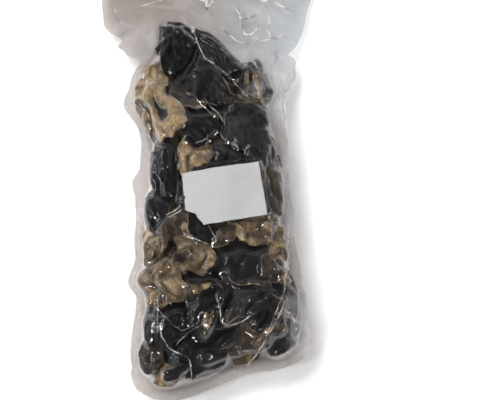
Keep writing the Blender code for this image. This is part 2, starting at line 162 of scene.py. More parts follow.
# Torn scraps that lie on the ears, under the front film
SCRAPS = [
    Ear("scrap_01", 56, 121, 46, 9, 99, FELT, 0.2, 3, 2.0, 90, folds=0.5, tone=0.5),
    Ear("scrap_02", 41, 124, 37, 7, 84, FELT, 0.2, 4, 2.5, 120, folds=1.6, tone=0.1),
    Ear("scrap_03", 10, -38, 26, 15, 25, BROWN, 0.2, 4, 2.2, -60, folds=0.9, tone=0.8),
    Ear("scrap_04", 22, -33, 20, 12, -40, FELT, 0.3, 3, 1.5, 40, folds=0.6),
    Ear("scrap_05", -17, -86, 20, 7, 8, FELT, 0.2, 3, 2.0, 90, folds=1.0, tone=0.2),
    Ear("scrap_06", 66, -78, 18, 10, 15, FELT, 0.4, 3, 1.5, 90, folds=0.5),
    Ear("scrap_07", 36, -152, 30, 9, 60, FELT, 0.2, 3, 1.2, 0, folds=1.5, tone=0.2),
    Ear("scrap_08", 48, -142, 26, 11, 40, BROWN, 0.4, 3, 3.0, -60, folds=1.3, tone=1.0),
    Ear("scrap_09", -42, -30, 20, 14, 50, BROWN, 0.3, 4, 1.5, 30, folds=0.8, tone=0.6),
    Ear("scrap_10", -38, -158, 22, 14, 20, DARK, 0.3, 4, 1.4, -90, folds=0.8),
    Ear("scrap_11", 46, -66, 22, 15, 80, BROWN, 0.4, 4, 1.2, 170, folds=0.7, tone=0.6),
    Ear("scrap_12", -10, -119, 20, 9, 78, FELT, 0.5, 3, 1.5, -90, folds=1.7, tone=0.1),
    Ear("scrap_13", -76, 70, 24, 16, 40, FELT, 0.3, 4, 2.0, 180, folds=1.3, tone=0.7),
    Ear("scrap_14", -76, 84, 18, 11, 110, BROWN, 0.2, 3, 2.0, 0, folds=1.2, tone=0.9),
    Ear("scrap_15", 30, -158, 24, 12, -15, BROWN, 0.2, 3, 1.5, 60, folds=1.2, tone=0.8),
    Ear("scrap_16", -70, -52, 22, 16, 100, FELT, 0.2, 3, 2.0, 100, folds=1.2, tone=0.3),
    Ear("scrap_17", -30, -58, 16, 10, 20, BROWN, 0.2, 3, 1.5, 20, folds=1.2, tone=0.5),
    Ear("scrap_18", 78, -136, 18, 11, 60, DARK, 0.4, 3, 1.5, 90, folds=1.2, tone=0.6),
    Ear("scrap_19", 66, 156, 46, 8, 108, DARK, 0.2, 3, 2.0, -90, folds=0.5, tone=0.4),
    Ear("scrap_20", 58, -118, 34, 8, 70, BROWN, 0.3, 3, 3.0, 160, folds=1.2, tone=0.6),
]

# The ears that show through the front film, topmost first
FRONT_EARS = [
    Ear("ear_rolled_cup", -48, 78, 54, 48, 80, FELT, 2.6, 12, 18, 10, 8, folds=0.35, tone=0.75),
    Ear("ear_hood", -45, 151, 64, 56, 100, DARK, 0.0, 13, 1.2, -140, folds=1.1, tone=0.1),
    Ear("ear_crown", -8, 120, 70, 48, -60, DARK, 0.0, 11, 0.7, -80, folds=0.9, tone=0.05),
    Ear("ear_top_edge", 9, 158, 66, 50, -35, DARK, 0.5, 9, 1.5, -70, folds=0.8, tone=0.3),
    Ear("ear_buff_top", -52, 110, 40, 36, 80, FELT, 1.0, 8, 3, 100, folds=0.5, tone=0.7),
    Ear("ear_tan_lip", -16, 100, 50, 34, -35, BROWN, 0.8, 8, 4.6, -110, folds=0.5, tone=0.4),
    Ear("ear_right_top", 37, 141, 68, 58, -40, DARK, 0.0, 11, 4.5, -85, folds=0.9, tone=0.3),
    Ear("ear_spike", 73, 138, 60, 40, 100, DARK, 0.5, 9, 2.5, -90, folds=0.8, tone=0.35),
    Ear("ear_mid_black", -14, 72, 50, 42, 90, DARK, 0.9, 10, 1.8, 40, folds=0.8, tone=0.2),
    Ear("ear_broad_right", 44, 64, 82, 56, 100, DARK, 0.0, 12, 1.4, 110, folds=0.5, tone=0.9),
    Ear("ear_long_fold", 15, 64, 76, 40, 95, DARK, 1.0, 9, 0.8, 100, folds=1.2, tone=0.6),
    Ear("ear_buff_over_slip", -21, 41, 46, 34, 70, FELT, 0.0, 9, 3, 0, folds=0.9, tone=1.0),
    Ear("ear_teardrop", -55, 32, 70, 44, 100, DARK, 0.0, 12, 1.4, 140, folds=0.5, tone=0.1),
    Ear("ear_left_crumple", -80, 86, 48, 34, 80, FELT, 0.8, 8, 4, 180, folds=0.9),
    Ear("ear_buff_right", 44, -31, 42, 28, 10, FELT, 1.0, 8, 3, 60, folds=1.5, tone=0.35),
    Ear("ear_right_side", 66, 16, 74, 46, 98, BROWN, 0.5, 10, 1.0, 0, folds=0.7, tone=0.8),
    Ear("ear_left_of_slip", -60, -6, 54, 46, 80, DARK, 1.0, 10, 1.0, 200, folds=0.6, tone=0.2),
    Ear("ear_under_slip", 7, -2, 88, 72, 10, DARK, 1.6, 10, 1.2, -110, folds=0.6, tone=0.5),
    Ear("ear_fan", -20, -50, 46, 36, -70, FELT, 0.0, 9, 2.5, -60, folds=1.4, tone=0.4),
    Ear("ear_buff_left", -64, -36, 48, 42, 30, FELT, 0.2, 11, 4, 160, folds=1.2, tone=0.6),
    Ear("ear_round", 23, -60, 56, 50, 20, DARK, 0.0, 10, 1.2, -95, folds=0.5, tone=0.65),
    Ear("ear_mottled", -56, -77, 62, 50, 15, FELT, 0.3, 11, 5, 200, folds=1.3, tone=0.25),
    Ear("ear_right_crumple", 64, -36, 46, 34, 70, FELT, 0.6, 9, 4, 0, folds=1.5, tone=0.3),
    Ear("ear_pocket", 58, -62, 42, 36, 90, BROWN, 0.8, 8, 1.4, -120, folds=0.6, tone=0.8),
    Ear("ear_ridge", -10, -106, 56, 26, 84, DARK, 0.3, 9, 2.2, 10, folds=1.1, tone=0.3),
    Ear("ear_mid_low", -12, -80, 50, 38, 80, DARK, 1.2, 9, 0.8, 100, folds=0.6, tone=0.3),
    Ear("ear_black_left", -52, -111, 62, 50, -20, DARK, 0.0, 12, 0.8, -150, folds=0.5, tone=0.0),
    Ear("ear_curved", 42, -119, 50, 32, 70, DARK, 0.0, 9, 3.0, 15, folds=0.7, tone=0.3),
    Ear("ear_big_low", 16, -99, 62, 54, 40, DARK, 0.8, 10, 0.8, -80, folds=0.35, tone=1.0),
    Ear("ear_right_edge", 74, -90, 62, 46, 95, DARK, 0.5, 10, 5, 90, folds=0.8, tone=0.6),
    Ear("ear_long_low", -9, -144, 70, 44, 65, DARK, 0.0, 12, 1.2, -110, folds=0.8, tone=0.15),
    Ear("ear_rust", 29, -146, 48, 40, 60, BROWN, 0.4, 9, 3, -90, folds=0.9, tone=0.7),
    Ear("ear_corner", 62, -150, 56, 44, 40, DARK, 0.8, 10, 2.5, -70, folds=1.0, tone=0.55),
    Ear("ear_left_lobes", -68, -139, 40, 38, 60, BROWN, 0.3, 10, 6, 150, folds=0.9, tone=0.4),
    Ear("ear_buff_low", -54, -158, 42, 32, -20, FELT, 0.0, 9, 3, -90, folds=1.2, tone=0.3),
    Ear("ear_black_low", -34, -134, 44, 40, 30, DARK, 1.5, 9, 1.0, 90, folds=0.7, tone=0.15),
    Ear("ear_low_right", 23.5, -166, 52, 38, 10, FELT, 0.8, 8, 2.5, -90, folds=1.4, tone=0.15),
]
BACK_ROWS, BACK_COLUMNS, BACK_PITCH_U, BACK_PITCH_V = 5, 3, 46.0, 62.0
BACK_LENGTH, BACK_WIDTH, BACK_THICK = 68.0, 56.0, 15.0
INNER_COUNT, INNER_PITCH, INNER_LENGTH, INNER_WIDTH = 4, 72.0, 62.0, 66.0
INNER_DEPTH, INNER_THICK, INNER_DEEPEST = 15.0, 9.0, 24.2


# --- the pillow and the real pack ------------------------------------------------------------


def smooth(low, high, x):
    """0 below low, 1 above high, and a smooth rise between."""
    t = np.clip((x - low) / (high - low), 0.0, 1.0)
    return t * t * (3 - 2 * t)


def along(stations, y):
    """A value that passes smoothly through (y, value) stations."""
    value = np.full(np.shape(y), stations[0][1], float)
    for (y0, value0), (y1, value1) in zip(stations, stations[1:]):
        value += (value1 - value0) * smooth(y0, y1, y)
    return value


def real_pack(x, y, z, out=0.0):
    """Points of the pillow, moved to their place in the real pack. out is how far they are outside its
    content."""
    wide = along(WIDTH_STATIONS, y)
    wide = wide + (1 - wide) * smooth(0, 0.03, out) * smooth(0.10, 0.16, y)
    lumps = BUMP * np.sin(x / 0.013 + 1.3) * np.cos(y / 0.017)
    thick = along(THICK_STATIONS, y) * (1 + lumps + BUMP * np.sin(y / 0.021 + x / 0.03))
    top = smooth(0.05, 0.172, y) * (1 - smooth(0.18, 0.24, y))
    top_step = (TOP_STEP * smooth(-0.005, 0.04, x) - TOP_RISE * (1 - smooth(-0.026, -0.002, x))) * top
    foot_step = FOOT_STEP * smooth(-0.05, 0.04, x) * smooth(0.06, 0.172, -y)
    base = EDGE + FILM_CLEAR + FILM_THICKNESS
    fall = (base * thick - HOVER) * smooth(0, DROP_REACH, out)
    wave = HEADER_WAVE * smooth(0.012, 0.045, out) * (1 + np.sin(x / 0.014 + 2.0) * np.cos(y / 0.03))
    place = (along(CENTRE_STATIONS, y) + x * wide, y - top_step + foot_step, (z + base) * thick - fall + wave)
    return np.stack(np.broadcast_arrays(*place), -1)


def rolled_out(u, v):
    """The core point under each rolled-out place, the way outwards from it, and how far past the core's edge
    it reaches."""
    core_x, core_y = np.clip(u, -CORE_X, CORE_X), np.clip(v, -CORE_Y, CORE_Y)
    reach = np.hypot(u - core_x, v - core_y)
    safe = np.maximum(reach, 1e-9)
    return core_x, core_y, (u - core_x) / safe, (v - core_y) / safe, reach


def on_pillow(u, v, depth, side):
    """The real pack's points under (u, v) at that depth, on its front (side 1) or its back (side -1)."""
    core_x, core_y, way_x, way_y, reach = rolled_out(u, v)
    angle, straight, most = reach / EDGE, 1.15, 1.52
    slowed = straight + (most - straight) * (1 - np.exp(-np.maximum(angle - straight, 0) / (most - straight)))
    angle = np.where(angle > straight, slowed, angle)
    radius = EDGE - depth
    across = np.sin(angle) * radius
    return real_pack(core_x + way_x * across, core_y + way_y * across, side * np.cos(angle) * radius)


def film_place(u, v, offset, side):
    """The real pack's points of a film, that far outside the pillow: over its edge, then along the rim."""
    core_x, core_y, way_x, way_y, reach = rolled_out(u, v)
    leave, bridge, run = math.radians(78), 5.5 * MM, 2.6 * MM
    start = EDGE * leave
    level = SEAM_GAP / 2 + offset - FILM_CLEAR
    t = np.clip((reach - start) / bridge, 0.0, 1.0)
    x0, z0 = (EDGE + offset) * math.sin(leave), (EDGE + offset) * math.cos(leave)
    x1, z1 = x0 + 0.5 * run * math.cos(leave), z0 - 0.5 * run * math.sin(leave)
    x3 = x0 + run
    w0, w1, w2, w3 = (1 - t) ** 3, 3 * t * (1 - t) ** 2, 3 * t * t * (1 - t), t**3
    past = w0 * x0 + w1 * x1 + w2 * (x3 - 0.5 * run) + w3 * x3 + np.maximum(0.0, reach - start - bridge)
    out = np.where(reach <= start, (EDGE + offset) * np.sin(reach / EDGE), past)
    bent = w0 * z0 + w1 * z1 + (w2 + w3) * level
    height = np.where(reach <= start, (EDGE + offset) * np.cos(reach / EDGE), bent)
    outside = np.maximum(0.0, out - EDGE - 3 * MM)
    points = real_pack(core_x + way_x * out, core_y + way_y * out, side * height, outside)
    points[..., 2] += crumpled(points[..., 0], points[..., 1]) * smooth(0.004, 0.03, outside)
    return points


def crumpled(x, y):
    """How far the flat film outside the content rises, in soft swells and sharp creases. Both sheets rise
    alike."""
    swell = grain(x / 0.034, y / 0.041, 11)
    creases = ridges(x, y, 12, 0.040)
    fine = ridges(x + 0.2, y, 13, 0.016)
    return settings().film.crumple * (0.45 * swell + 1.1 * creases**7 + 0.35 * fine**6)


def drawn_in(u, v):
    """Draws the rim in: closely along the sides and round the foot, hardly in the header."""
    core_x, core_y, way_x, way_y, reach = rolled_out(u, v)
    past = reach - QUARTER
    right = u > 0
    keep = np.where(right, along(MARGIN_RIGHT, v), along(MARGIN_LEFT, v))
    foot = FOOT_KEEP + (CORNER_KEEP - FOOT_KEEP) * smooth(0.035, 0.060, abs(u))
    keep = keep + (foot - keep) * smooth(0, 0.012, -CORE_Y - v)
    drawn = np.where(past > 0, QUARTER + past * keep, reach)
    return core_x + way_x * drawn, core_y + way_y * drawn


def turned(a, b, turn, at):
    """The rolled-out places of (a, b) in axes that are turned about a place."""
    return at[0] + a * math.cos(turn) - b * math.sin(turn), at[1] + a * math.sin(turn) + b * math.cos(turn)


def turned_back(u, v, turn, at):
    """The a and b of rolled-out places, in axes that are turned about a place."""
    du, dv = u - at[0], v - at[1]
    return du * math.cos(turn) + dv * math.sin(turn), dv * math.cos(turn) - du * math.sin(turn)


# --- patterns and maps ------------------------------------------------------------


@functools.lru_cache(maxsize=None)
def slants(seed):
    return np.random.default_rng(seed).uniform(0, math.tau, (64, 64))


def grain(x, y, seed):
    """Smooth noise from about -0.7 to 0.7, with one bump to a unit."""
    table = slants(seed)
    x0, y0 = np.floor(x).astype(int), np.floor(y).astype(int)
    fx, fy = x - x0, y - y0

    def corner(i, j):
        angle = table[(x0 + i) % 64, (y0 + j) % 64]
        return np.cos(angle) * (fx - i) + np.sin(angle) * (fy - j)

    sx, sy = fx * fx * fx * (fx * (fx * 6 - 15) + 10), fy * fy * fy * (fy * (fy * 6 - 15) + 10)
    low = corner(0, 0) * (1 - sx) + corner(1, 0) * sx
    high = corner(0, 1) * (1 - sx) + corner(1, 1) * sx
    return low * (1 - sy) + high * sy


def ridges(x, y, seed, pitch):
    """Sharp winding ridges, 1 along them and 0 in the rounded hollows between."""
    bend_x = x + 0.5 * pitch * grain(x / pitch / 1.4, y / pitch / 1.4, seed + 1000)
    bend_y = y + 0.5 * pitch * grain(x / pitch / 1.4 + 7.3, y / pitch / 1.4, seed + 2000)
    return 1 - np.minimum(1.0, np.abs(grain(bend_x / pitch, bend_y / pitch, seed)) * 2.4)


def map_places():
    """The u and v of every cell of a map."""
    return np.meshgrid(np.arange(-MAP_U, MAP_U, CELL), np.arange(-MAP_V, MAP_V, CELL))


def read_map(values, u, v):
    """A map's value between its cells."""
    rows, columns = values.shape
    x = np.clip((u + MAP_U) / CELL, 0, columns - 1.001)
    y = np.clip((v + MAP_V) / CELL, 0, rows - 1.001)
    x0, y0 = x.astype(int), y.astype(int)
    fx, fy = x - x0, y - y0
    low = values[y0, x0] * (1 - fx) + values[y0, x0 + 1] * fx
    high = values[y0 + 1, x0] * (1 - fx) + values[y0 + 1, x0 + 1] * fx
    return low * (1 - fy) + high * fy


def neighbours(values):
    """The map moved one cell each of eight ways, with the distance moved."""
    padded = np.pad(values, 1, mode="edge")
    rows, columns = values.shape
    for i in (-1, 0, 1):
        for j in (-1, 0, 1):
            if i or j:
                yield padded[1 + i : 1 + i + rows, 1 + j : 1 + j + columns], CELL * math.hypot(i, j)


def blurred(values, times):
    for _ in range(times):
        values = (values * 2 + sum(moved for moved, _ in neighbours(values))) / 10
    return values


def crests(values):
    """The highest value within a cell of each place, so that the film's coarser net clears narrow crests."""
    for axis in (0, 1):
        values = np.max([np.roll(values, step, axis) for step in (-1, 0, 1)], axis=0)
    return values


def settled_cover(cover):
    """The stack's depth with a slope round every edge in it, so that what lies beneath dips gently."""
    for step in range(SETTLE_STEPS):
        slope = 0.0 if step < 2 else SETTLE_SLOPE
        for moved, far in neighbours(cover):
            cover = np.maximum(cover, moved - slope * far)
    return blurred(cover, 1)


# --- the ears ------------------------------------------------------------


class EarForm:
    """An ear's shape in its own axes: a along it, b across it, and share from its middle to its rim."""

    def __init__(self, ear, number, side):
        rng = random.Random(f"{ear.node} {number}")

        def phased(*kinds):
            return [(*kind, rng.uniform(0, math.tau)) for kind in kinds]

        self.ear = ear
        self.turn, self.at = math.radians(ear.turn) * side, (ear.u * MM, ear.v * MM)
        self.ragged = 1.4 if ear.length < 35 else 1.0
        self.waves = phased((2, 0.08), (3, 0.10), (5, 0.06))
        self.notch = rng.uniform(0, math.tau)
        self.fold_way = rng.uniform(0, math.pi)
        rng.random()  # this draw and the next keep those after them as they are
        rng.random()
        self.waves += phased((8, 0.03), (13, 0.022), (21, 0.012))
        self.frills = phased((6,), (10,), (16,))
        self.cusps = phased((3, 0.14), (5, 0.10))
        self.seed = rng.randrange(10**6)
        self.bowl = rng.uniform(-1.0, 1.0)

    def radius(self, angle):
        lobes = sum(size * np.cos(count * angle + phase) for count, size, phase in self.waves)
        lobes = lobes + sum(
            size * (abs(np.sin(count * angle / 2 + phase)) - 0.64) for count, size, phase in self.cusps
        )
        gap = np.remainder(angle - self.notch + math.pi, math.tau) - math.pi
        return 1 + self.ragged * (lobes - 0.16 * np.exp(-((gap / 0.45) ** 2)))

    def axes(self, u, v):
        """a, b, share and angle of places on the rolled-out pack."""
        a, b = turned_back(u, v, self.turn, self.at)
        x, y = a / (self.ear.length / 2 * MM), b / (self.ear.width / 2 * MM)
        angle = np.arctan2(y, x)
        return a, b, np.hypot(x, y) / self.radius(angle), angle

    def place(self, share, angle):
        """The rolled-out places of a share and an angle."""
        a = share * self.radius(angle) * self.ear.length / 2 * MM * np.cos(angle)
        b = share * self.radius(angle) * self.ear.width / 2 * MM * np.sin(angle)
        return turned(a, b, self.turn, self.at)

    def curled(self, angle):
        """How far the rim curls up: 1 where the ear's lip is, 0 well away from it."""
        away = np.remainder(angle - math.radians(self.ear.lip - self.ear.turn) + math.pi, math.tau) - math.pi
        wide = math.radians(46 + 7 * self.ear.rim)
        return np.exp(-((away / wide) ** 2))

    def rim_share(self, angle):
        """The share at which the felt rim starts: it shows where the rim curls up, and hardly elsewhere."""
        torn = 0.62 + 1.3 * grain(angle * 2.1, 0 * angle + 0.5, self.seed + 7)
        if self.ear.cup:
            return 0.29 + 0.05 * torn
        width = 0.25 + self.ear.rim * self.curled(angle) * np.clip(torn, 0.12 + 0.06 * self.ear.rim, 1.2)
        return 1 - width / (0.25 * (self.ear.length + self.ear.width))

    def relief(self, a, b, share, angle):
        """How far the upper face lies under its highest point, and how much of a hollow each place is."""
        ear, fold = self.ear, settings().ears.fold
        half = 0.25 * (ear.length + ear.width) * MM
        scale = min(1.0, half / (20 * MM))
        stem_a, stem_b = 0.7 * half * math.cos(self.fold_way), 0.7 * half * math.sin(self.fold_way)
        from_stem = np.hypot(a - stem_a, b - stem_b)
        round_stem = np.arctan2(b - stem_b, a - stem_a) * 0.9 * half
        past_stem = smooth(0.15 * half, 0.9 * half, from_stem)
        pleats = ridges(round_stem, from_stem * 0.35, self.seed + 1, 0.011) * past_stem
        backs = ridges(round_stem + 0.3, from_stem * 0.5, self.seed + 5, 0.014)
        big = ridges(a, b, self.seed + 4, 0.019)
        small = ridges(a, b, self.seed + 2, 0.0085)
        tiny = ridges(a, b, self.seed + 3, 0.0042)
        swell = grain(a / 0.03, b / 0.03, self.seed + 8)
        if ear.face == FELT:
            hollow = 0.55 * pleats**1.8 + 0.65 * big**2.2 + 0.22 * small**2.5 + 0.05 * tiny
        else:
            creased = 0.9 * pleats**1.8 + 0.4 * (1 - backs) ** 2
            hollow = creased + 0.4 * big**2.4 + 0.06 * small**2 + 0.02 * tiny
        edge = smooth(0.55, 1.0, share)
        frill = sum(np.sin(count * angle + phase + 2.5 * share) for count, phase in self.frills) / 3
        curled = self.curled(angle)
        fall = 5.0 * MM * share**2.6 * (1 - curled)
        bowl = 2.4 * MM * (max(self.bowl, 0) * (1 - share**2) + max(-self.bowl, 0) * share**2)
        start = self.rim_share(angle)
        rolled = np.sin(math.pi * np.clip((share - start + 0.08) / (1.08 - start), 0, 1))
        rise = (0.5 * settings().ears.rim_height + 0.22 * ear.rim * MM) * rolled * curled
        cup = ear.cup * MM * (1 - smooth(start - 0.12, start + 0.22, share))
        depth = fold * ear.folds * hollow * (1 - 0.35 * edge) + fall + bowl - 1.5 * MM * edge * frill
        depth = scale * (depth + 2.2 * MM * (swell + 0.3)) + cup - rise
        highest = -(0.5 + ear.lift * (ear.cup > 0)) * MM
        return np.maximum(depth, highest), np.clip(hollow * ear.folds**0.5, 0, 1)


def back_ears():
    """The ears against the back film, in staggered rows."""
    rng = random.Random(4)
    ears = []
    for row in range(BACK_ROWS):
        for column in range(BACK_COLUMNS):
            number = row * BACK_COLUMNS + column
            u = (column - (BACK_COLUMNS - 1) / 2) * BACK_PITCH_U + rng.uniform(-5, 5)
            v = (row - (BACK_ROWS - 1) / 2) * BACK_PITCH_V + (column % 2) * 12 - 5 + rng.uniform(-6, 6)
            face = (DARK, FELT, DARK, BROWN, FELT)[(number * 3) % 5]
            size = rng.uniform(0.9, 1.08)
            turn, lift = rng.uniform(0, 180), rng.uniform(0, 1)
            name = f"ear_back_{number + 1:02d}"
            lip = (number * 77) % 360
            length, width = BACK_LENGTH * size, BACK_WIDTH * size
            ears.append(Ear(name, u, v, length, width, turn, face, lift, BACK_THICK, 3.0, lip))
    return ears


def inner_ears():
    """The ears in the middle of the pack, along its length."""
    return [
        Ear(
            f"ear_inner_{number + 1}", 0, (number - (INNER_COUNT - 1) / 2) * INNER_PITCH, INNER_LENGTH,
            INNER_WIDTH, 0, BROWN, INNER_DEPTH, INNER_THICK, 2.0, 90.0, 0.0, INNER_DEEPEST,
        )
        for number in range(INNER_COUNT)
    ]


def slip_depth(u, v):
    """How deep the slip lies: nearly flat, dented where the ears beneath leave room."""
    waves = 0.5 + 0.5 * grain(u / 0.024 + 3.1, v / 0.03, 21) + 0.3 * ridges(u, v, 22, 0.03) ** 2
    return SLIP_DEPTH - 0.4 * MM + settings().slip.ripple * waves


@functools.lru_cache(maxsize=None)
def stacked(side):
    """Lays every ear of one side under those before it. Returns each ear's two skins, and the map of what is
    on top."""
    u, v = map_places()
    cover = np.full(u.shape, NO_COVER)
    top = np.full(u.shape, GAP_DEPTH)
    if side > 0:
        a, b = turned_back(u, v, SLIP_TURN, SLIP_PLACE)
        under = (abs(a) < SLIP_WIDTH / 2 + 0.5 * MM) & (abs(b) < SLIP_HEIGHT / 2 + 0.5 * MM)
        cover[under] = slip_depth(u, v)[under] + SLIP_THICKNESS
        top[under] = slip_depth(u, v)[under]
    ears = SCRAPS + FRONT_EARS + inner_ears() if side > 0 else back_ears()
    ring = (np.arange(UPPER_RINGS + 1) / UPPER_RINGS) ** 0.75
    angle = math.tau * np.arange(RIM_POINTS) / RIM_POINTS
    share, turn = np.meshgrid(ring, angle, indexing="ij")
    low_share, low_turn = np.meshgrid(ring[:: UPPER_RINGS // LOWER_RINGS][:LOWER_RINGS], angle, indexing="ij")
    laid = []
    for number, ear in enumerate(ears, -len(SCRAPS) if side > 0 else 0):
        form = EarForm(ear, number, side)
        reach = 0.62 * ear.length * MM + 12 * MM
        i0, j0 = (max(0, int((c * MM + m - reach) / CELL)) for c, m in ((ear.v, MAP_V), (ear.u, MAP_U)))
        window = np.s_[i0 : i0 + int(2 * reach / CELL), j0 : j0 + int(2 * reach / CELL)]
        settled = settled_cover(cover[window])

        def depths(u, v, share, angle):
            a, b, _, _ = form.axes(u, v)
            relief, hollow = form.relief(a, b, share, angle)
            near = smooth(0.6 * EDGE, 1.3 * EDGE, rolled_out(u, v)[4])
            relief = relief * (1 - 0.88 * near) + SIDE_FALL * near * share**3
            first = (EAR_DEPTH if side > 0 else BACK_DEPTH) * (1 - 0.8 * near)
            depth = np.maximum(
                first + ear.lift * (1 - 0.6 * near) * MM + relief,
                read_map(settled, u - j0 * CELL, v - i0 * CELL) + EAR_GAP,
            )
            thick = 1.0 * MM + ear.thick * MM * np.maximum(0, 1 - share**2) ** 0.8
            room = ROOM_SHARE * (ear.deepest * MM - depth)
            return depth, depth + np.maximum(THINNEST, np.minimum(thick, room)), hollow

        fine = 2 if ear in SCRAPS else 1
        high_share, high_turn = share[::fine], turn[::fine]
        net_u, net_v = form.place(high_share, high_turn)
        upper, _, hollow = depths(net_u, net_v, high_share, high_turn)
        low_u, low_v = form.place(low_share, low_turn)
        _, lower, _ = depths(low_u, low_v, low_share, low_turn)
        laid.append((form, (net_u, net_v, upper), (low_u, low_v, lower), (high_share, high_turn), hollow))

        wu, wv = u[window], v[window]
        _, _, wide, around = form.axes(wu, wv)
        depth, below, _ = depths(wu, wv, np.minimum(wide, 1), around)
        inside = wide <= 1.0
        cover[window] = np.where(inside, np.maximum(cover[window], below), cover[window])
        top[window] = np.where(inside, np.minimum(top[window], depth), top[window])
    return laid, top


def net_faces(upper_rings, lower_rings, count):
    """Faces between the rings of an ear's two skins, whose points are the upper rings, then the lower ones.
    The first ring of each is a single point, and the upper skin's last ring is the rim of both."""
    steps = np.arange(count)
    nexts = (steps + 1) % count
    first_low = 1 + upper_rings * count
    rim = 1 + (upper_rings - 1) * count
    faces = [[0, 1 + i, 1 + j] for i, j in zip(steps, nexts)]
    faces += [[first_low, first_low + 1 + j, first_low + 1 + i] for i, j in zip(steps, nexts)]

    def band(inner, outer, turn):
        return [[inner + i, outer + i, outer + j, inner + j][::turn] for i, j in zip(steps, nexts)]

    for ring in range(upper_rings - 1):
        faces += band(1 + ring * count, 1 + (ring + 1) * count, 1)
    for ring in range(lower_rings - 1):
        outer = first_low + 1 + (ring + 1) * count if ring < lower_rings - 2 else rim
        faces += band(first_low + 1 + ring * count, outer, -1)
    return faces


def make_ear(laid, side):
    """One ear as a closed mesh, with how felted and how hollow each of its places is."""
    form, upper, lower, (share, angle), hollow = laid
    ear = form.ear

    def listed(high, low):
        """The values of both skins in the order of the net's points, each middle once."""
        own = high.shape[2:]
        rings = [(skin[0, :1], skin[1:].reshape(-1, *own)) for skin in (high, low)]
        return np.concatenate([*rings[0], *rings[1]])

    up, down = on_pillow(*upper, side), on_pillow(*lower, side)
    ragged = 0.05 * grain(upper[0] / 0.004, upper[1] / 0.004, form.seed + 5)
    band = smooth(-0.02, 0.03, share + ragged - form.rim_share(angle))
    if ear.face == FELT and not ear.cup:
        band = np.ones(band.shape)
    points, under = listed(up, down), np.ones(down.shape[:2])
    # the materials paint shade where a place is hollow
    values = {
        "felt": listed(band, under), "hollow": listed(hollow, 0 * under),
        "tone": np.full(len(points), ear.tone),
    }
    faces = net_faces(up.shape[0] - 1, down.shape[0], RIM_POINTS)
    thing = make_object(f"wood_{ear.node}", points, faces, **values)
    thing.data.materials.append(ear_material(ear.face))
    nodes = () if ear in SCRAPS else (ear.node,)
    dress(thing, ear.face, *nodes)
    return thing


def make_ears(ears, side):
    for laid in stacked(side)[0]:
        if laid[0].ear in ears:
            make_ear(laid, side)


# --- the films ------------------------------------------------------------


def pull_together(place, first, second, rest, stretch, squash):
    """Moves the two ends of every edge towards the edge's own length, in place."""
    start, end = place[(slice(None),) + first], place[(slice(None),) + second]
    way = end - start
    length = np.sqrt((way * way).sum(0)) + 1e-9
    wrong = (length - rest) / length
    way *= np.where(wrong > 0, stretch, squash) * wrong * 0.5
    start += way
    end -= way


def edge_groups(rows, columns):
    """Pairs of slices that join neighbours, such that no point is in a group twice: the first, the second,
    and the steps in v and in u."""
    groups = []
    for p in (0, 1):
        last = (columns - 1 - p) // 2 * 2 + p
        groups.append((np.s_[:, p:last:2], np.s_[:, p + 1 : last + 1 : 2], (0, 1)))
        last = (rows - 1 - p) // 2 * 2 + p
        groups.append((np.s_[p:last:2, :], np.s_[p + 1 : last + 1 : 2, :], (1, 0)))
        for q in (0, 1):
            end_r, end_c = (rows - 1 - p) // 2 * 2 + p, (columns - 1 - q) // 2 * 2 + q
            near, far = slice(p, end_r, 2), slice(p + 1, end_r + 1, 2)
            left, right = slice(q, end_c, 2), slice(q + 1, end_c + 1, 2)
            groups.append(((near, left), (far, right), (1, 1)))
            groups.append(((near, right), (far, left), (1, 1)))
    for o in range(4):
        last = (columns - 2 - o + 3) // 4 * 4 + o
        groups.append((np.s_[:, o : last : 4], np.s_[:, o + 2 : last + 2 : 4], (0, 2)))
        last = (rows - 2 - o + 3) // 4 * 4 + o
        groups.append((np.s_[o : last : 4, :], np.s_[o + 2 : last + 2 : 4, :], (2, 0)))
    return groups


def settle_film(place, slack, support, rounds, press):
    """Presses a film down on what it covers. Its edges keep their rolled-out length, so it creases where it
    has too much."""
    _, rows, columns = place.shape
    step_u, step_v = POUCH_WIDTH / (columns - 1), POUCH_LENGTH / (rows - 1)
    groups = edge_groups(rows, columns)
    rims = place.copy()
    for number in range(rounds):
        before = place.copy()
        place[2] -= press * (1 - 0.6 * number / rounds)
        for first, second, (i, j) in groups:
            rest = math.hypot(i * step_v, j * step_u) * (1 + slack[first])
            if max(i, j) == 2:
                pull_together(place, first, second, 0.985 * rest, stretch=0.0, squash=0.6)
            else:
                pull_together(place, first, second, rest, stretch=1.0, squash=0.35)
        lowest = read_map(support, place[0], place[1])
        held = place[2] < lowest
        place[2] = np.maximum(place[2], lowest)
        place[:2] = np.where(held, FILM_GRIP * before[:2] + (1 - FILM_GRIP) * place[:2], place[:2])
        for edge in (np.s_[:, 0], np.s_[:, -1], np.s_[:, :, 0], np.s_[:, :, -1]):
            place[edge] = rims[edge]
    return place


def doubled(values):
    """The same film with twice as many steps each way."""
    rows, columns = values.shape[-2:]
    fine = np.zeros(values.shape[:-2] + (2 * rows - 1, 2 * columns - 1))
    fine[..., ::2, ::2] = values
    fine[..., 1::2, ::2] = (values[..., 1:, :] + values[..., :-1, :]) / 2
    fine[..., :, 1::2] = (fine[..., :, 2::2] + fine[..., :, :-2:2]) / 2
    return fine


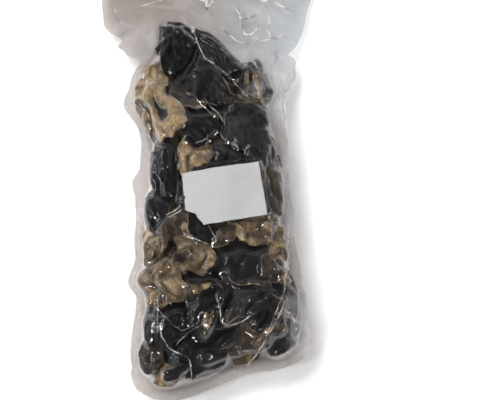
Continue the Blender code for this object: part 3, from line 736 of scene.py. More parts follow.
# Where the front film is pinched into standing creases: each one's height in millimetres, and its route
CREASES = [
    (0.6, [(-29, 176), (-22, 158), (-14, 145), (-3, 133), (13, 128)]),
    (0.7, [(-1, 132), (13, 131), (26, 129), (37, 116), (46, 101)]),
    (0.5, [(0, 91), (5, 84), (11, 76), (14, 67)]),
    (0.75, [
        (72, 172), (70, 119), (60, 40), (66, 13), (70, -14), (64, -42), (58, -70), (51, -104), (44, -134),
    ]),
    (0.55, [(47, -126), (37, -154), (25, -166), (14, -177)]),
    (0.7, [(-4, -30), (0, -38), (1, -43), (-7, -50)]),
    (0.8, [(-2, -99), (1, -111), (2, -122), (8, -128), (16, -129)]),
    (0.7, [
        (-53, -88), (-51, -112), (-47, -126), (-42, -134), (-33, -141), (-25, -148), (-24, -157), (-25, -170),
    ]),
    (0.9, [(-45, -19), (-38, -15), (-31, -10)]),
    (0.8, [(-41, -22), (-35, -17), (-30, -14)]),
    (0.6, [(-36, -133), (-26, -124), (-16, -121)]),
    (0.6, [(86, 176), (87, 122), (74, 64), (72, 34)]),
    (0.5, [(-57, -95), (-47, -109), (-32, -121), (-21, -119)]),
    (0.5, [(9, -129), (23, -125), (34, -117)]),
    (0.4, [(-19, 47), (-9, 51), (2, 61)]),
    (0.5, [(38, -153), (45, -139), (53, -110)]),
    (1.6, [(31, 226), (33, 219), (38, 212), (45, 211), (51, 214), (54, 220)]),
    (1.2, [(37, 233), (52, 231), (72, 228), (93, 223)]),
    (1.4, [(-12, 222), (-7, 217), (-2, 215), (3, 219), (7, 227)]),
    (1.1, [(-93, 196), (-93, 187), (-91, 178), (-86, 171)]),
    (1.0, [(56, 204), (69, 208), (84, 213)]),
    (0.8, [(20, 232), (28, 224), (36, 219), (48, 222), (60, 233)]),
    (0.7, [(62, 224), (66, 214), (72, 208)]),
    (0.8, [(-40, 230), (-34, 219), (-22, 209)]),
    (0.7, [(77, 190), (80, 178), (78, 166)]),
    (1.0, [(-66, 198), (-45, 211), (-30, 217)]),
    (1.0, [(16, 203), (28, 200), (46, 196)]),
]
CREASE_WIDTH = 0.55 * MM

# Where crumbs have gathered under the front film: each pocket's middle and how far it reaches
POCKETS = [
    (86, -149, 5), (63, -172, 8), (14, -170, 6), (24, -161, 6), (43, 122, 6), (-8, -118, 4), (-60, -82, 3),
    (46, -49, 4),
]
CRUMB_ROOM = 0.7 * MM

# Where the front film looks milky, partly a haze where it stands off from the ears and partly a painted sheen
# for the light that its facets reflect: a middle, how far it reaches, and how much
MILKY_SHEEN_PATCHES = [
    (80, 146, 28, 0.6), (90, -146, 34, 1.0), (76, -110, 26, 0.5), (86, 96, 30, 0.6), (88, 20, 26, 0.5),
    (-84, -8, 20, 0.4), (34, 176, 22, 0.5), (52, 118, 16, 0.3),
]

SEAL_RIBS, SEAL_PITCH, SEAL_FROM_MOUTH = 8, 1.4 * MM, 15 * MM


def support_map(side):
    """How far out of the pillow a film is held: by the ears, the slip, and the other film outside them."""
    _, top = stacked(side)
    u, v = map_places()
    *_, reach = rolled_out(u, v)
    held = np.maximum(FILM_GAP - top, -GAP_DEPTH)
    held = np.maximum(held, blurred(held, 16) - FILM_SAG)
    if side > 0:
        for at_u, at_v, wide in POCKETS:
            away = np.hypot(u - at_u * MM, v - at_v * MM)
            held = held + CRUMB_ROOM * (1 - smooth(0.6 * wide * MM, 1.6 * wide * MM, away))
    outside = smooth(EDGE * 1.25, QUARTER, reach)
    held = held * (1 - outside) + FILM_CLEAR * outside
    return np.minimum(held, MOST_OUT)


def draped(side):
    """The film's rolled-out places and heights, after the air is drawn out."""
    rows, columns = FILM_ROWS // 2 + 1, FILM_COLUMNS // 2 + 1
    half = POUCH_WIDTH / 2
    u, v = np.meshgrid(np.linspace(-half, half, columns), np.linspace(V_FOOT, V_MOUTH, rows))
    place = np.stack([u, v, np.full(u.shape, FILM_CLEAR)])
    support = crests(support_map(side))

    def slack(place):
        u, v = place[0], place[1]
        *_, reach = rolled_out(u, v)
        streaks = 1 + 2.6 * grain(u / 0.02 + 0.5 * side, v / 0.035, 31)
        inside = 1 - 0.8 * smooth(QUARTER - 2 * MM, QUARTER + 10 * MM, reach)
        return settings().film.slack * np.clip(streaks, 0.05, 3.0) * inside

    place = doubled(settle_film(place, slack(place), support, *COARSE_SETTLING))
    place = settle_film(place, slack(place), support, *FINE_SETTLING)
    place[2] = np.maximum(blurred(place[2], 2), read_map(support, place[0], place[1]))
    return place


def sheet_object(name, skins, side, **attributes):
    """A thin closed sheet between an outer and an inner skin, with a value at each place per attribute."""
    rows, columns = skins[0].shape[:2]
    points = np.concatenate([skin.reshape(-1, 3) for skin in skins])
    r, c = np.meshgrid(np.arange(rows - 1), np.arange(columns - 1), indexing="ij")
    first = (r * columns + c).ravel()
    square = np.stack([first, first + 1, first + columns + 1, first + columns], 1)
    edge = [(0, c) for c in range(columns)] + [(r, columns - 1) for r in range(1, rows)]
    edge += [(rows - 1, c) for c in range(columns - 2, -1, -1)] + [(r, 0) for r in range(rows - 2, 0, -1)]
    edge = np.array([r * columns + c for r, c in edge])
    after = np.roll(edge, -1)
    rim = np.stack([after, edge, edge + rows * columns, after + rows * columns], 1)
    faces = np.concatenate([square, square[:, ::-1] + rows * columns, rim])
    attributes = {key: np.tile(values.ravel(), 2) for key, values in attributes.items()}
    return make_object(name, points, (faces if side > 0 else faces[:, ::-1]).tolist(), **attributes)


def make_film(side):
    """One film as a thin closed sheet, with how greyed and how milky each of its places is; the milkiness is
    partly a painted sheen.
    """
    place = draped(side)
    u, v = drawn_in(place[0], place[1])
    skins = [film_place(u, v, place[2] + extra, side) for extra in (settings().film.thickness, 0.0)]
    if side < 0:
        for skin in skins:
            skin[..., 2] = np.maximum(skin[..., 2], 0.0)
    *_, reach = rolled_out(u, v)
    haze = smooth(EDGE * 1.1, QUARTER - 1 * MM, reach) * (1 - 0.25 * smooth(0.160, 0.190, v))
    veil = np.zeros(u.shape)
    for at_u, at_v, wide, amount in MILKY_SHEEN_PATCHES if side > 0 else ():
        away = np.hypot(u - at_u * MM, v - at_v * MM)
        veil = np.maximum(veil, amount * (1 - smooth(0.3 * wide * MM, wide * MM, away)))
    name, node = ("front_film", "film_front") if side > 0 else ("back_film", "film_back")
    film = sheet_object(name, skins, side, haze=haze, veil=veil)
    film.data.materials.append(film_material())
    dress(film, "clear_film", node)
    under = [ear.node for ear in (FRONT_EARS if side > 0 else back_ears())]
    if side > 0:
        under.insert(0, "paper_slip")
    return film


# --- the slip ------------------------------------------------------------


def make_slip():
    """The slip: thin paper, a little dented, its left edge nicked."""
    columns, rows = 96, 62
    t, s = np.meshgrid(np.linspace(-0.5, 0.5, columns), np.linspace(-0.5, 0.5, rows))
    nick = 0.015 * np.exp(-(((s - 0.06) / 0.03) ** 2))
    left = -0.5 + nick + 0.13 * smooth(0.16, 0.30, -s) + 0.07 * smooth(0.3, 0.5, -s)
    across = left + (0.5 - left) * (t + 0.5) + 0.004 * grain(s * 9, 0 * s + 0.5, 23)
    a, b = across * SLIP_WIDTH, s * SLIP_HEIGHT + 0.5 * MM * grain(t * 7, 0 * t + 0.5, 24)
    u, v = turned(a, b, SLIP_TURN, SLIP_PLACE)
    depth = slip_depth(u, v)
    skins = [on_pillow(u, v, depth + extra, 1) for extra in (0.0, PAPER_THICKNESS)]
    slip = sheet_object("blank_slip", skins, 1)
    return slip


# --- what is grown along lines and over surfaces ------------------------------------------------------------


def node_adder(tree, prefix=""):
    """A function that adds a node to a tree, with its inputs set or linked."""

    def add(kind, inputs=(), **options):
        made = tree.nodes.new(prefix + kind)
        for key, value in options.items():
            setattr(made, key, value)
        for key, value in dict(inputs).items():
            if isinstance(value, bpy.types.NodeSocket):
                tree.links.new(value, made.inputs[key])
            else:
                made.inputs[key].default_value = value
        return made

    return add


def geometry_tree(name, labels):
    """A function that adds a node to a new geometry tree with named inputs, those inputs, and a function that
    ends the tree in real faces with a finish."""
    tree = bpy.data.node_groups.new(name, "GeometryNodeTree")
    tree.interface.new_socket("Geometry", in_out="INPUT", socket_type="NodeSocketGeometry")
    for label, kind in labels:
        tree.interface.new_socket(label, in_out="INPUT", socket_type="NodeSocket" + kind)
    tree.interface.new_socket("Geometry", in_out="OUTPUT", socket_type="NodeSocketGeometry")

    add = node_adder(tree)
    given = add("NodeGroupInput").outputs

    def finish(geometry):
        real = add("GeometryNodeRealizeInstances", {"Geometry": geometry}).outputs[0]
        covered = add("GeometryNodeSetMaterial", {"Geometry": real, "Material": given["Material"]}).outputs[0]
        add("NodeGroupOutput", {"Geometry": covered})
        return tree

    return add, given, finish


def grown(name, source, tree, values):
    """The mesh that a tree makes of a source object, as an object of its own."""
    modifier = source.modifiers.new("growth", "NODES")
    modifier.node_group = tree
    for item in tree.interface.items_tree:
        if item.in_out == "INPUT" and item.name in values:
            modifier[item.identifier] = values[item.name]
    depsgraph = bpy.context.evaluated_depsgraph_get()
    mesh = bpy.data.meshes.new_from_object(source.evaluated_get(depsgraph), depsgraph=depsgraph)
    source.modifiers.remove(modifier)
    bpy.data.objects.remove(source)
    mesh.name = name
    mesh.materials.clear()
    mesh.materials.append(values["Material"])
    mesh.polygons.foreach_set("material_index", np.zeros(len(mesh.polygons), np.int32))
    thing = bpy.data.objects.new(name, mesh)
    bpy.context.scene.collection.objects.link(thing)
    return thing


@functools.lru_cache(maxsize=None)
def raised_lines_tree():
    """Lays lines on a sheet from above and sweeps a section along them, as wide as each point says."""
    add, given, finish = geometry_tree("raised_lines", [
        ("Sheet", "Object"), ("Step", "Float"), ("Width", "Float"), ("Height", "Float"),
        ("Material", "Material"),
    ])
    lines = add("GeometryNodeMeshToCurve", {"Mesh": given["Geometry"]}).outputs[0]
    share = add("GeometryNodeInputNamedAttribute", {"Name": "share"}, data_type="FLOAT").outputs["Attribute"]
    lines = add("GeometryNodeSetCurveRadius", {"Curve": lines, "Radius": share}).outputs[0]
    spaced = {"Curve": lines, "Length": given["Step"]}
    lines = add("GeometryNodeResampleCurve", spaced, mode="LENGTH").outputs[0]
    sheet = add("GeometryNodeObjectInfo", {"Object": given["Sheet"]}).outputs["Geometry"]
    found = add("GeometryNodeRaycast", {
        "Target Geometry": sheet, "Ray Direction": (0, 0, -1), "Ray Length": 0.1,
    }).outputs
    lines = add("GeometryNodeSetPosition", {
        "Geometry": lines, "Selection": found["Is Hit"], "Position": found["Hit Position"],
    }).outputs[0]
    lines = add("GeometryNodeSetCurveNormal", {"Curve": lines}, mode="Z_UP").outputs[0]
    ring = add("GeometryNodeCurvePrimitiveCircle", {"Resolution": 6, "Radius": 1.0}).outputs[0]
    size = add("ShaderNodeCombineXYZ", {"X": given["Height"], "Y": given["Width"], "Z": 1.0}).outputs[0]
    ring = add("GeometryNodeTransform", {"Geometry": ring, "Scale": size}).outputs[0]
    radius = add("GeometryNodeInputRadius").outputs[0]
    swept = add("GeometryNodeCurveToMesh", {
        "Curve": lines, "Profile Curve": ring, "Scale": radius, "Fill Caps": True,
    }).outputs[0]
    return finish(swept)


@functools.lru_cache(maxsize=None)
def crumbs_tree():
    """Scatters small broken lumps over a surface."""
    add, given, finish = geometry_tree("crumbs", [
        ("Seed", "Int"), ("Spacing", "Float"), ("Size", "Float"), ("Material", "Material"),
    ])
    spots = add("GeometryNodeDistributePointsOnFaces", {
        "Mesh": given["Geometry"], "Distance Min": given["Spacing"], "Density Max": 1.0e6,
        "Seed": given["Seed"],
    }, distribute_method="POISSON")
    lump = add("GeometryNodeMeshIcoSphere", {"Radius": given["Size"], "Subdivisions": 2}).outputs["Mesh"]
    size = add("FunctionNodeRandomValue", {
        0: (0.35, 0.35, 0.3), 1: (1.0, 0.8, 0.6), "Seed": given["Seed"],
    }, data_type="FLOAT_VECTOR").outputs[0]
    lumps = add("GeometryNodeInstanceOnPoints", {
        "Points": spots.outputs["Points"], "Instance": lump, "Rotation": spots.outputs["Rotation"],
        "Scale": size,
    }).outputs[0]
    real = add("GeometryNodeRealizeInstances", {"Geometry": lumps}).outputs[0]
    rough = add("ShaderNodeTexNoise", {"Scale": 1400.0, "Detail": 1.0}).outputs["Color"]
    moved = add("ShaderNodeVectorMath", {0: rough, 1: (0.5, 0.5, 0.5)}, operation="SUBTRACT").outputs[0]
    moved = add("ShaderNodeVectorMath", {0: moved, "Scale": 0.0009}, operation="SCALE").outputs[0]
    broken = add("GeometryNodeSetPosition", {"Geometry": real, "Offset": moved}).outputs[0]
    flat = add("GeometryNodeSetShadeSmooth", {"Geometry": broken, "Shade Smooth": False}).outputs[0]
    return finish(flat)


def pulled_route(points, number, steps=14):
    """Places along a route's own points: nearly straight from each to the next, as in film that is pulled."""
    own = np.array(points, float)
    own = np.concatenate([[2 * own[0] - own[1]], own, [2 * own[-1] - own[-2]]])
    t = np.arange(steps)[:, None] / steps
    rows = []
    for p0, p1, p2, p3 in zip(own, own[1:], own[2:], own[3:]):
        start, end = 0.18 * (p2 - p0), 0.18 * (p3 - p1)
        rows.append(
            p1 * (1 + 2 * t) * (1 - t) ** 2 + start * t * (1 - t) ** 2
            + p2 * t * t * (3 - 2 * t) - end * t * t * (1 - t)
        )
    route = np.concatenate(rows + [own[-2:-1]])
    for axis in (0, 1):
        route[:, axis] += 1.1 * grain(route[:, 0] / 7 + number, route[:, 1] / 7, 43 + axis)
    return route


def lines_over_film(routes):
    """An object of lines that hang over the front film. A route is its u, its v and its share of the full
    size."""
    points, edges, shares = [], [], []
    for u, v, share in routes:
        first = len(points)
        points += film_place(*drawn_in(u, v), FILM_DROP, 1).tolist()
        edges += [(first + i, first + i + 1) for i in range(len(u) - 1)]
        shares += share.tolist()
    lines = make_object("lines", np.array(points), [], share=np.array(shares))
    lines.data.edges.add(len(edges))
    lines.data.edges.foreach_set("vertices", np.array(edges).ravel())
    lines.data.update()
    return lines


def make_creases():
    """The film's standing creases, high in the middle and running out at their ends."""
    routes = []
    for number, (height, route) in enumerate(CREASES):
        u, v = pulled_route(route, number).T * MM
        t = np.linspace(0, 1, len(u))
        uneven = 0.75 + 0.7 * grain(t * 0.9 * len(route), 0 * t + number + 0.5, 41)
        routes.append((u, v, np.maximum(0.08, np.sin(math.pi * t) ** 0.5 * uneven * height)))
    values = {
        "Sheet": bpy.data.objects["front_film"], "Step": 1.0 * MM, "Width": CREASE_WIDTH / 2,
        "Height": 1.0 * MM, "Material": crease_material(),
    }
    return grown("film_creases", lines_over_film(routes), raised_lines_tree(), values)


def make_seal():
    """The ribs of the heat seal across the pouch's mouth."""
    u = np.linspace(-POUCH_WIDTH / 2 + 1.5 * MM, POUCH_WIDTH / 2 - 1.5 * MM, 60)
    routes = [
        (u, 0 * u + V_MOUTH - SEAL_FROM_MOUTH + number * SEAL_PITCH, 1 + 0 * u) for number in range(SEAL_RIBS)
    ]
    values = {
        "Sheet": bpy.data.objects["front_film"], "Step": 2.0 * MM, "Width": 0.4 * MM, "Height": 0.25 * MM,
        "Material": crease_material(),
    }
    return grown("seal_ribs", lines_over_film(routes), raised_lines_tree(), values)


def make_crumbs():
    """Crumbs that have gathered in pockets under the front film."""
    support = support_map(1)
    points, faces = [], []
    for at_u, at_v, wide in POCKETS:
        step = np.linspace(-0.7, 0.7, 5) * wide * MM
        u, v = np.meshgrid(at_u * MM + step, at_v * MM + step)
        height = read_map(support, u, v) - CRUMB_ROOM - 0.3 * MM
        first = len(points)
        points += film_place(*drawn_in(u, v), height, 1).reshape(-1, 3).tolist()
        faces += [
            [first + 5 * r + c, first + 5 * r + c + 1, first + 5 * r + c + 6, first + 5 * r + c + 5]
            for r in range(4) for c in range(4)
        ]
    patches = make_object("patches", np.array(points), faces)
    values = {"Seed": 5, "Spacing": 1.7 * MM, "Size": 0.75 * MM, "Material": ear_material(BROWN)}
    return grown("crumbs", patches, crumbs_tree(), values)


# --- objects and materials ------------------------------------------------------------


@functools.lru_cache(maxsize=None)
def frame_shift():
    """From the part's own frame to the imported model's, worked out from the slip, which both know."""
    columns, rows = 7, 5
    t, s = np.meshgrid(np.arange(columns + 1) / columns - 0.5, np.arange(rows + 1) / rows - 0.5)
    u, v = turned(t * SLIP_WIDTH, s * SLIP_HEIGHT, SLIP_TURN, SLIP_PLACE)
    depths = SLIP_DEPTH, SLIP_DEPTH + SLIP_THICKNESS
    own = np.concatenate([on_pillow(u, v, depth, 1).reshape(-1, 3) for depth in depths])
    return np.array(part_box("paper_slip")[0]) - own.min(0)


def make_object(name, points, faces, **attributes):
    """A smooth mesh object at the origin, with a value at each point for each attribute."""
    mesh = bpy.data.meshes.new(name)
    mesh.from_pydata((points + frame_shift()).tolist(), [], faces)
    for key, values in attributes.items():
        layer = mesh.attributes.new(key, "FLOAT", "POINT")
        layer.data.foreach_set("value", np.ascontiguousarray(values, np.float32))
    mesh.shade_smooth()
    mesh.update()
    thing = bpy.data.objects.new(name, mesh)
    bpy.context.scene.collection.objects.link(thing)
    return thing


def dress(thing, slot, *nodes):
    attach(thing, "root")
    if nodes:
        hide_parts(*nodes)


def new_material(name):
    """A function that adds a node to a new material, and a function that ends it in a shader."""
    material = bpy.data.materials.new(name)
    material.use_nodes = True
    tree = material.node_tree
    tree.nodes.clear()
    add = node_adder(tree, "ShaderNode")

    def finish(shader):
        add("OutputMaterial", {"Surface": shader})
        return material

    return add, finish


def noise(add, at, scale, detail=4.0, rough=0.55, bend=0.0):
    inputs = {"Vector": at, "Scale": scale, "Detail": detail, "Roughness": rough, "Distortion": bend}
    return add("TexNoise", inputs).outputs["Fac"]


def ramp(add, value, stops):
    """A colour for each value, through (place, colour) stops."""
    made = add("ValToRGB", {"Fac": value})
    bar = made.color_ramp
    while len(bar.elements) < len(stops):
        bar.elements.new(0.5)
    for element, (place, colour) in zip(bar.elements, stops):
        element.position, element.color = place, (*colour, 1.0)
    return made.outputs["Color"]


def spread(add, value, low, high, to_low=0.0, to_high=1.0):
    """A value stretched between two limits."""
    inputs = {"Value": value, "From Min": low, "From Max": high, "To Min": to_low, "To Max": to_high}
    return add("MapRange", inputs, interpolation_type="SMOOTHSTEP").outputs["Result"]


def blend_colour(add, factor, first, second, kind="MIX"):
    """Two colours mixed, each of them a socket or a tuple of three numbers."""
    first, second = ((*colour, 1.0) if isinstance(colour, tuple) else colour for colour in (first, second))
    made = add("Mix", {0: factor, 6: first, 7: second}, data_type="RGBA", blend_type=kind)
    return made.outputs[2]


def blend_value(add, factor, first, second):
    return add("Mix", {0: factor, 2: first, 3: second}).outputs[0]


def sum_of(add, first, second, kind="ADD"):
    return add("Math", {0: first, 1: second}, operation=kind).outputs[0]


def shade(colour, factor):
    return tuple(min(1.0, c * factor) for c in colour)


def horny_skin(add, colour, broad, fine, hollow, tone):
    """The bare face of an ear: mottled, its lightest patches partly a painted sheen, with painted shade in
    its hollows, and as light as its own tone.
    """
    # partly the face's own mottling, partly painted sheen: the lightest stop is raised to stand in for the
    # sheen of the face
    skin = ramp(add, broad, [
        (0.32, shade(colour, 0.45)), (0.50, shade(colour, 0.9)), (0.70, shade(colour, 2.2)),
    ])
    skin = blend_colour(add, spread(add, fine, 0.40, 0.80, 0.0, 0.4), skin, shade(colour, 2.4))
    # painted shade: the skin is darkened where the folds are hollow
    skin = blend_colour(add, spread(add, hollow, 0.2, 0.9, 0.0, 0.7), skin, shade(colour, 0.3))
    lit = ramp(add, tone, [(0.0, (0.22, 0.22, 0.25)), (0.4, (0.50, 0.47, 0.46)), (1.0, (0.95, 0.88, 0.80))])
    return blend_colour(add, 1.0, skin, lit, "MULTIPLY")


def short_felt(add, at, colour, fine, hollow, tone):
    """The felted back or rim of an ear: rubbed bare in blotches, with painted shade in its hollows and along
    fine wrinkle lines that the mesh does not have.
    """
    felt = ramp(add, noise(add, at, 75.0, 6.0, 0.65, 1.0), [
        (0.28, shade(colour, 0.22)), (0.43, shade(colour, 0.62)), (0.56, colour), (0.74, shade(colour, 1.5)),
    ])
    felt = blend_colour(add, spread(add, fine, 0.3, 0.7, 0.0, 0.35), felt, shade(colour, 0.45))
    rubbed = spread(add, noise(add, at, 62.0, 5.0, 0.62, 0.9), 0.47, 0.62, 0.0, 0.85)
    blotches = sum_of(add, rubbed, spread(add, tone, 0.3, 0.8, 1.0, 0.3), "MULTIPLY")
    felt = blend_colour(add, blotches, felt, shade(colour, 0.17))
    # painted shade: the felt is darkened where the folds are hollow
    felt = blend_colour(add, spread(add, hollow, 0.22, 0.85, 0.0, 0.85), felt, shade(colour, 0.16))
    # painted shade: dark lines along fine wrinkles that have no shape of their own
    painted_wrinkle_shade = sum_of(add, noise(add, at, 70.0, 4.0, 0.55, 1.8), 0.5, "SUBTRACT")
    painted_wrinkle_shade = spread(add, sum_of(add, painted_wrinkle_shade, 0.0, "ABSOLUTE"), 0.0, 0.03, 0.45, 0.0)
    felt = blend_colour(add, painted_wrinkle_shade, felt, shade(colour, 0.2))
    lit = ramp(add, tone, [(0.0, (0.6, 0.6, 0.6)), (0.4, (0.84, 0.84, 0.84)), (1.0, (1.0, 1.0, 1.0))])
    return blend_colour(add, 1.0, felt, lit, "MULTIPLY")


@functools.lru_cache(maxsize=None)
def ear_material(face):
    """Dried ear: one face dark or brown with a dull horny gloss, the other and the rims in short felt."""
    ears = settings().ears
    add, finish = new_material({DARK: "dried_dark_face", FELT: "dried_felt", BROWN: "dried_brown_face"}[face])
    at = add("TexCoord").outputs["Object"]
    broad = noise(add, at, 38.0, 5.0, 0.6, 0.6)
    fine = noise(add, at, 190.0, 5.0, 0.6, 0.4)
    # hollow drives the painted shade in the folds, in both the skin and the felt
    hollow, tone, edge = (
        add("Attribute", attribute_name=name).outputs["Fac"] for name in ("hollow", "tone", "felt")
    )
    skin_colour = tuple(ears.brown_colour if face == BROWN else ears.dark_colour)
    felt_colour = tuple(ears.felt_colour if face == FELT else ears.rim_colour)
    skin = horny_skin(add, skin_colour, broad, fine, hollow, tone)
    felt = short_felt(add, at, felt_colour, fine, hollow, tone)
    worn = sum_of(add, edge, spread(add, broad, 0.25, 0.75, -0.35, 0.35))
    felted = spread(add, worn, 0.35, 0.6)
    gloss = spread(add, fine, 0.3, 0.7, 0.30 if face != BROWN else 0.45, 0.55)
    veins = add("TexVoronoi", {"Vector": at, "Scale": 260.0}, feature="DISTANCE_TO_EDGE").outputs["Distance"]
    creased = sum_of(add, spread(add, veins, 0.0, 0.12), noise(add, at, 420.0, 3.0))
    pile = noise(add, at, 1500.0, 2.0, 0.7)
    bump = add("Bump", {
        "Height": blend_value(add, felted, sum_of(add, creased, 0.25, "MULTIPLY"), pile),
        "Strength": 0.55, "Distance": 0.0005,
    })
    shader = add("BsdfPrincipled", {
        "Base Color": blend_colour(add, felted, skin, felt), "Normal": bump.outputs["Normal"],
        "Roughness": blend_value(add, felted, gloss, 0.95), "Specular IOR Level": 0.27,
        "Sheen Weight": 0.25 if face == FELT else 0.05, "Sheen Roughness": 0.5,
    })
    return finish(shader.outputs["BSDF"])


@functools.lru_cache(maxsize=None)
def film_material():
    """Clear film: seen through, glossy, greyer where it lies on its fellow outside the content, that grey
    made lighter and cooler towards the upper right as painted light.
    """
    film = settings().film
    add, finish = new_material("pouch_film")
    at = add("TexCoord").outputs["Object"]
    haze = add("Attribute", attribute_name="haze").outputs["Fac"]
    crinkle = sum_of(add, noise(add, at, 75.0, 2.0, 0.5, 1.5), 0.5, "SUBTRACT")
    crinkle = sum_of(add, sum_of(add, crinkle, 0.0, "ABSOLUTE"), 0.12, "MINIMUM")
    crisp = spread(add, haze, 0.3, 0.9, 0.22, 0.08)
    bump = add("Bump", {"Height": crinkle, "Strength": crisp, "Distance": 0.0016}).outputs["Normal"]
    where = add("SeparateXYZ", {0: at}).outputs
    # painted light: the film's grey is lighter and cooler towards the upper right, where the light falls
    painted_light_east = sum_of(add, spread(add, where["X"], -0.07, 0.08), spread(add, where["Y"], -0.02, 0.12), "MULTIPLY")
    side_lit_tint = blend_colour(add, painted_light_east, tuple(film.tint), tuple(film.right_lit_tint))
    tint = blend_colour(add, spread(add, haze, 0.1, 0.7), (0.985, 0.985, 0.99), side_lit_tint)
    clear = add("BsdfTransparent", {"Color": tint}).outputs["BSDF"]
    gloss = add("BsdfPrincipled", {
        "Base Color": (1.0, 1.0, 1.0, 1.0), "Metallic": 1.0, "Roughness": 0.08, "Normal": bump,
    }).outputs["BSDF"]
    shine = sum_of(add, add("Fresnel", {"IOR": 1.45, "Normal": bump}).outputs["Fac"], film.shine, "MULTIPLY")
    shine = sum_of(add, shine, 0.10, "MINIMUM")
    shine = sum_of(add, shine, spread(add, haze, 0.0, 1.0, 1.0, 0.35), "MULTIPLY")
    body = add("MixShader", {0: shine, 1: clear, 2: gloss}).outputs["Shader"]
    cloud = noise(add, at, 30.0, 4.0, 0.6, 0.8)
    # partly painted sheen: milky white where the film's facets would reflect the light, over a milky haze
    veil = sum_of(add, add("Attribute", attribute_name="veil").outputs["Fac"], 0.22, "MULTIPLY")
    amount = sum_of(add, spread(add, haze, 0.5, 1.0, 0.0, 0.13), veil)
    amount = sum_of(add, amount, spread(add, cloud, 0.3, 0.7, 0.6, 1.4), "MULTIPLY")
    milky = add("BsdfPrincipled", {"Base Color": (0.80, 0.79, 0.80, 1.0), "Roughness": 0.5}).outputs["BSDF"]
    return finish(add("MixShader", {0: amount, 1: body, 2: milky}).outputs["Shader"])


@functools.lru_cache(maxsize=None)
def crease_material():
    """Film pinched double: whiter than the sheet beside it, partly its own whitening and partly a painted
    highlight along the crease, brighter still in the header, and as glossy.
    """
    add, finish = new_material("creased_film")
    at = add("TexCoord").outputs["Object"]
    clear = add("BsdfTransparent", {"Color": (0.96, 0.96, 0.965, 1.0)}).outputs["BSDF"]
    # partly the pinched film's own whitening, partly a painted highlight: a pale diffuse white standing in
    # for the glint along each crease
    whitened_and_glinting = add("BsdfPrincipled", {
        "Base Color": (0.84, 0.80, 0.76, 1.0), "Roughness": 0.16, "Specular IOR Level": 0.6,
    }).outputs["BSDF"]
    # painted highlight: the creases in the header are made whiter still
    header_glint_boost = spread(add, add("SeparateXYZ", {0: at}).outputs["Y"], 0.12, 0.15, 1.0, 2.1)
    patches = spread(add, noise(add, at, 95.0, 3.0, 0.6), 0.38, 0.62, 0.04, 0.38)
    amount = sum_of(add, patches, header_glint_boost, "MULTIPLY")
    return finish(add("MixShader", {0: amount, 1: clear, 2: whitened_and_glinting}).outputs["Shader"])


@functools.lru_cache(maxsize=None)
def paper_material():
    """Plain paper with faint fibres."""
    add, finish = new_material("plain_slip_paper")
    at = add("TexCoord").outputs["Object"]
    fibres = noise(add, at, 900.0, 3.0)
    clouds = noise(add, at, 55.0, 4.0)
    base = tuple(settings().slip.paper_colour)
    colour = ramp(add, clouds, [(0.3, shade(base, 0.93)), (0.7, base)])
    dents = sum_of(add, sum_of(add, fibres, 0.06, "MULTIPLY"), noise(add, at, 22.0, 2.0, 0.4, 0.8))
    bump = add("Bump", {"Height": dents, "Strength": 0.5, "Distance": 0.006}).outputs["Normal"]
    shader = add("BsdfPrincipled", {"Base Color": colour, "Roughness": 0.8, "Normal": bump})
    return finish(shader.outputs["BSDF"])


# --- settings and operators ------------------------------------------------------------


def colour_property(name, default):
    return bpy.props.FloatVectorProperty(
        name=name, description=f"{name}, linear", subtype="COLOR", size=3, min=0, max=1, default=default
    )


def length_property(name, description, default):
    return bpy.props.FloatProperty(
        name=name, description=description, subtype="DISTANCE", unit="LENGTH", min=0, default=default,
        precision=5,
    )


def power_property(name, default):
    return bpy.props.FloatProperty(name=name, description="Power", subtype="POWER", min=0, default=default)


class WoodEarSettings(bpy.types.PropertyGroup):
    """Shapes and colours of the dried ears."""

    fold: length_property("Fold depth", "How deep an ear's folds are", 6.0 * MM)
    rim_height: length_property("Rim height", "How far a curled rim stands up", 1.6 * MM)
    dark_colour: colour_property("Dark face", (0.017, 0.0155, 0.0165))
    brown_colour: colour_property("Brown face", (0.066, 0.051, 0.037))
    felt_colour: colour_property("Felt back", (0.47, 0.33, 0.18))
    rim_colour: colour_property("Felt rim", (0.50, 0.385, 0.27))


class PouchFilmSettings(bpy.types.PropertyGroup):
    """The clear films."""

    slack: bpy.props.FloatProperty(
        name="Slack", description="How much longer the film is than the plain pillow under it, as a share",
        subtype="FACTOR", min=0, max=0.2, default=0.013,
    )
    thickness: length_property("Thickness", "Thickness of one film", 0.2 * MM)
    crumple: length_property("Crumple", "Height of the creases in the header", 1.6 * MM)
    tint: colour_property("Tint", (0.845, 0.825, 0.81))
    # painted light: the lighter, cooler tint that the film's grey takes towards the upper right
    right_lit_tint: colour_property("Tint on the right", (0.91, 0.915, 0.92))
    shine: bpy.props.FloatProperty(
        name="Shine", description="Share of clear plastic's reflection that each skin has", subtype="FACTOR",
        min=0, max=1, default=0.65,
    )


class PaperSlipSettings(bpy.types.PropertyGroup):
    """The paper slip under the front film."""

    ripple: length_property("Ripple", "How far the slip is dented", 1.3 * MM)
    paper_colour: colour_property("Paper", (0.495, 0.49, 0.48))


class StudioSettings(bpy.types.PropertyGroup):
    """The floor, the sky and the lights."""

    floor_colour: colour_property("Floor", (0.97, 0.97, 0.97))
    sky: bpy.props.FloatProperty(name="Sky", description="Strength of the low sky", min=0, default=0.28)
    key: power_property("Softbox", 23.0)
    fill: power_property("Side softbox", 7.0)
    glint: power_property("Glints", 5.0)


class WoodEarPackSettings(bpy.types.PropertyGroup):
    """All the settings of the pack."""

    ears: bpy.props.PointerProperty(type=WoodEarSettings)
    film: bpy.props.PointerProperty(type=PouchFilmSettings)
    slip: bpy.props.PointerProperty(type=PaperSlipSettings)
    studio: bpy.props.PointerProperty(type=StudioSettings)


def settings():
    return bpy.context.scene.wood_ear_pack


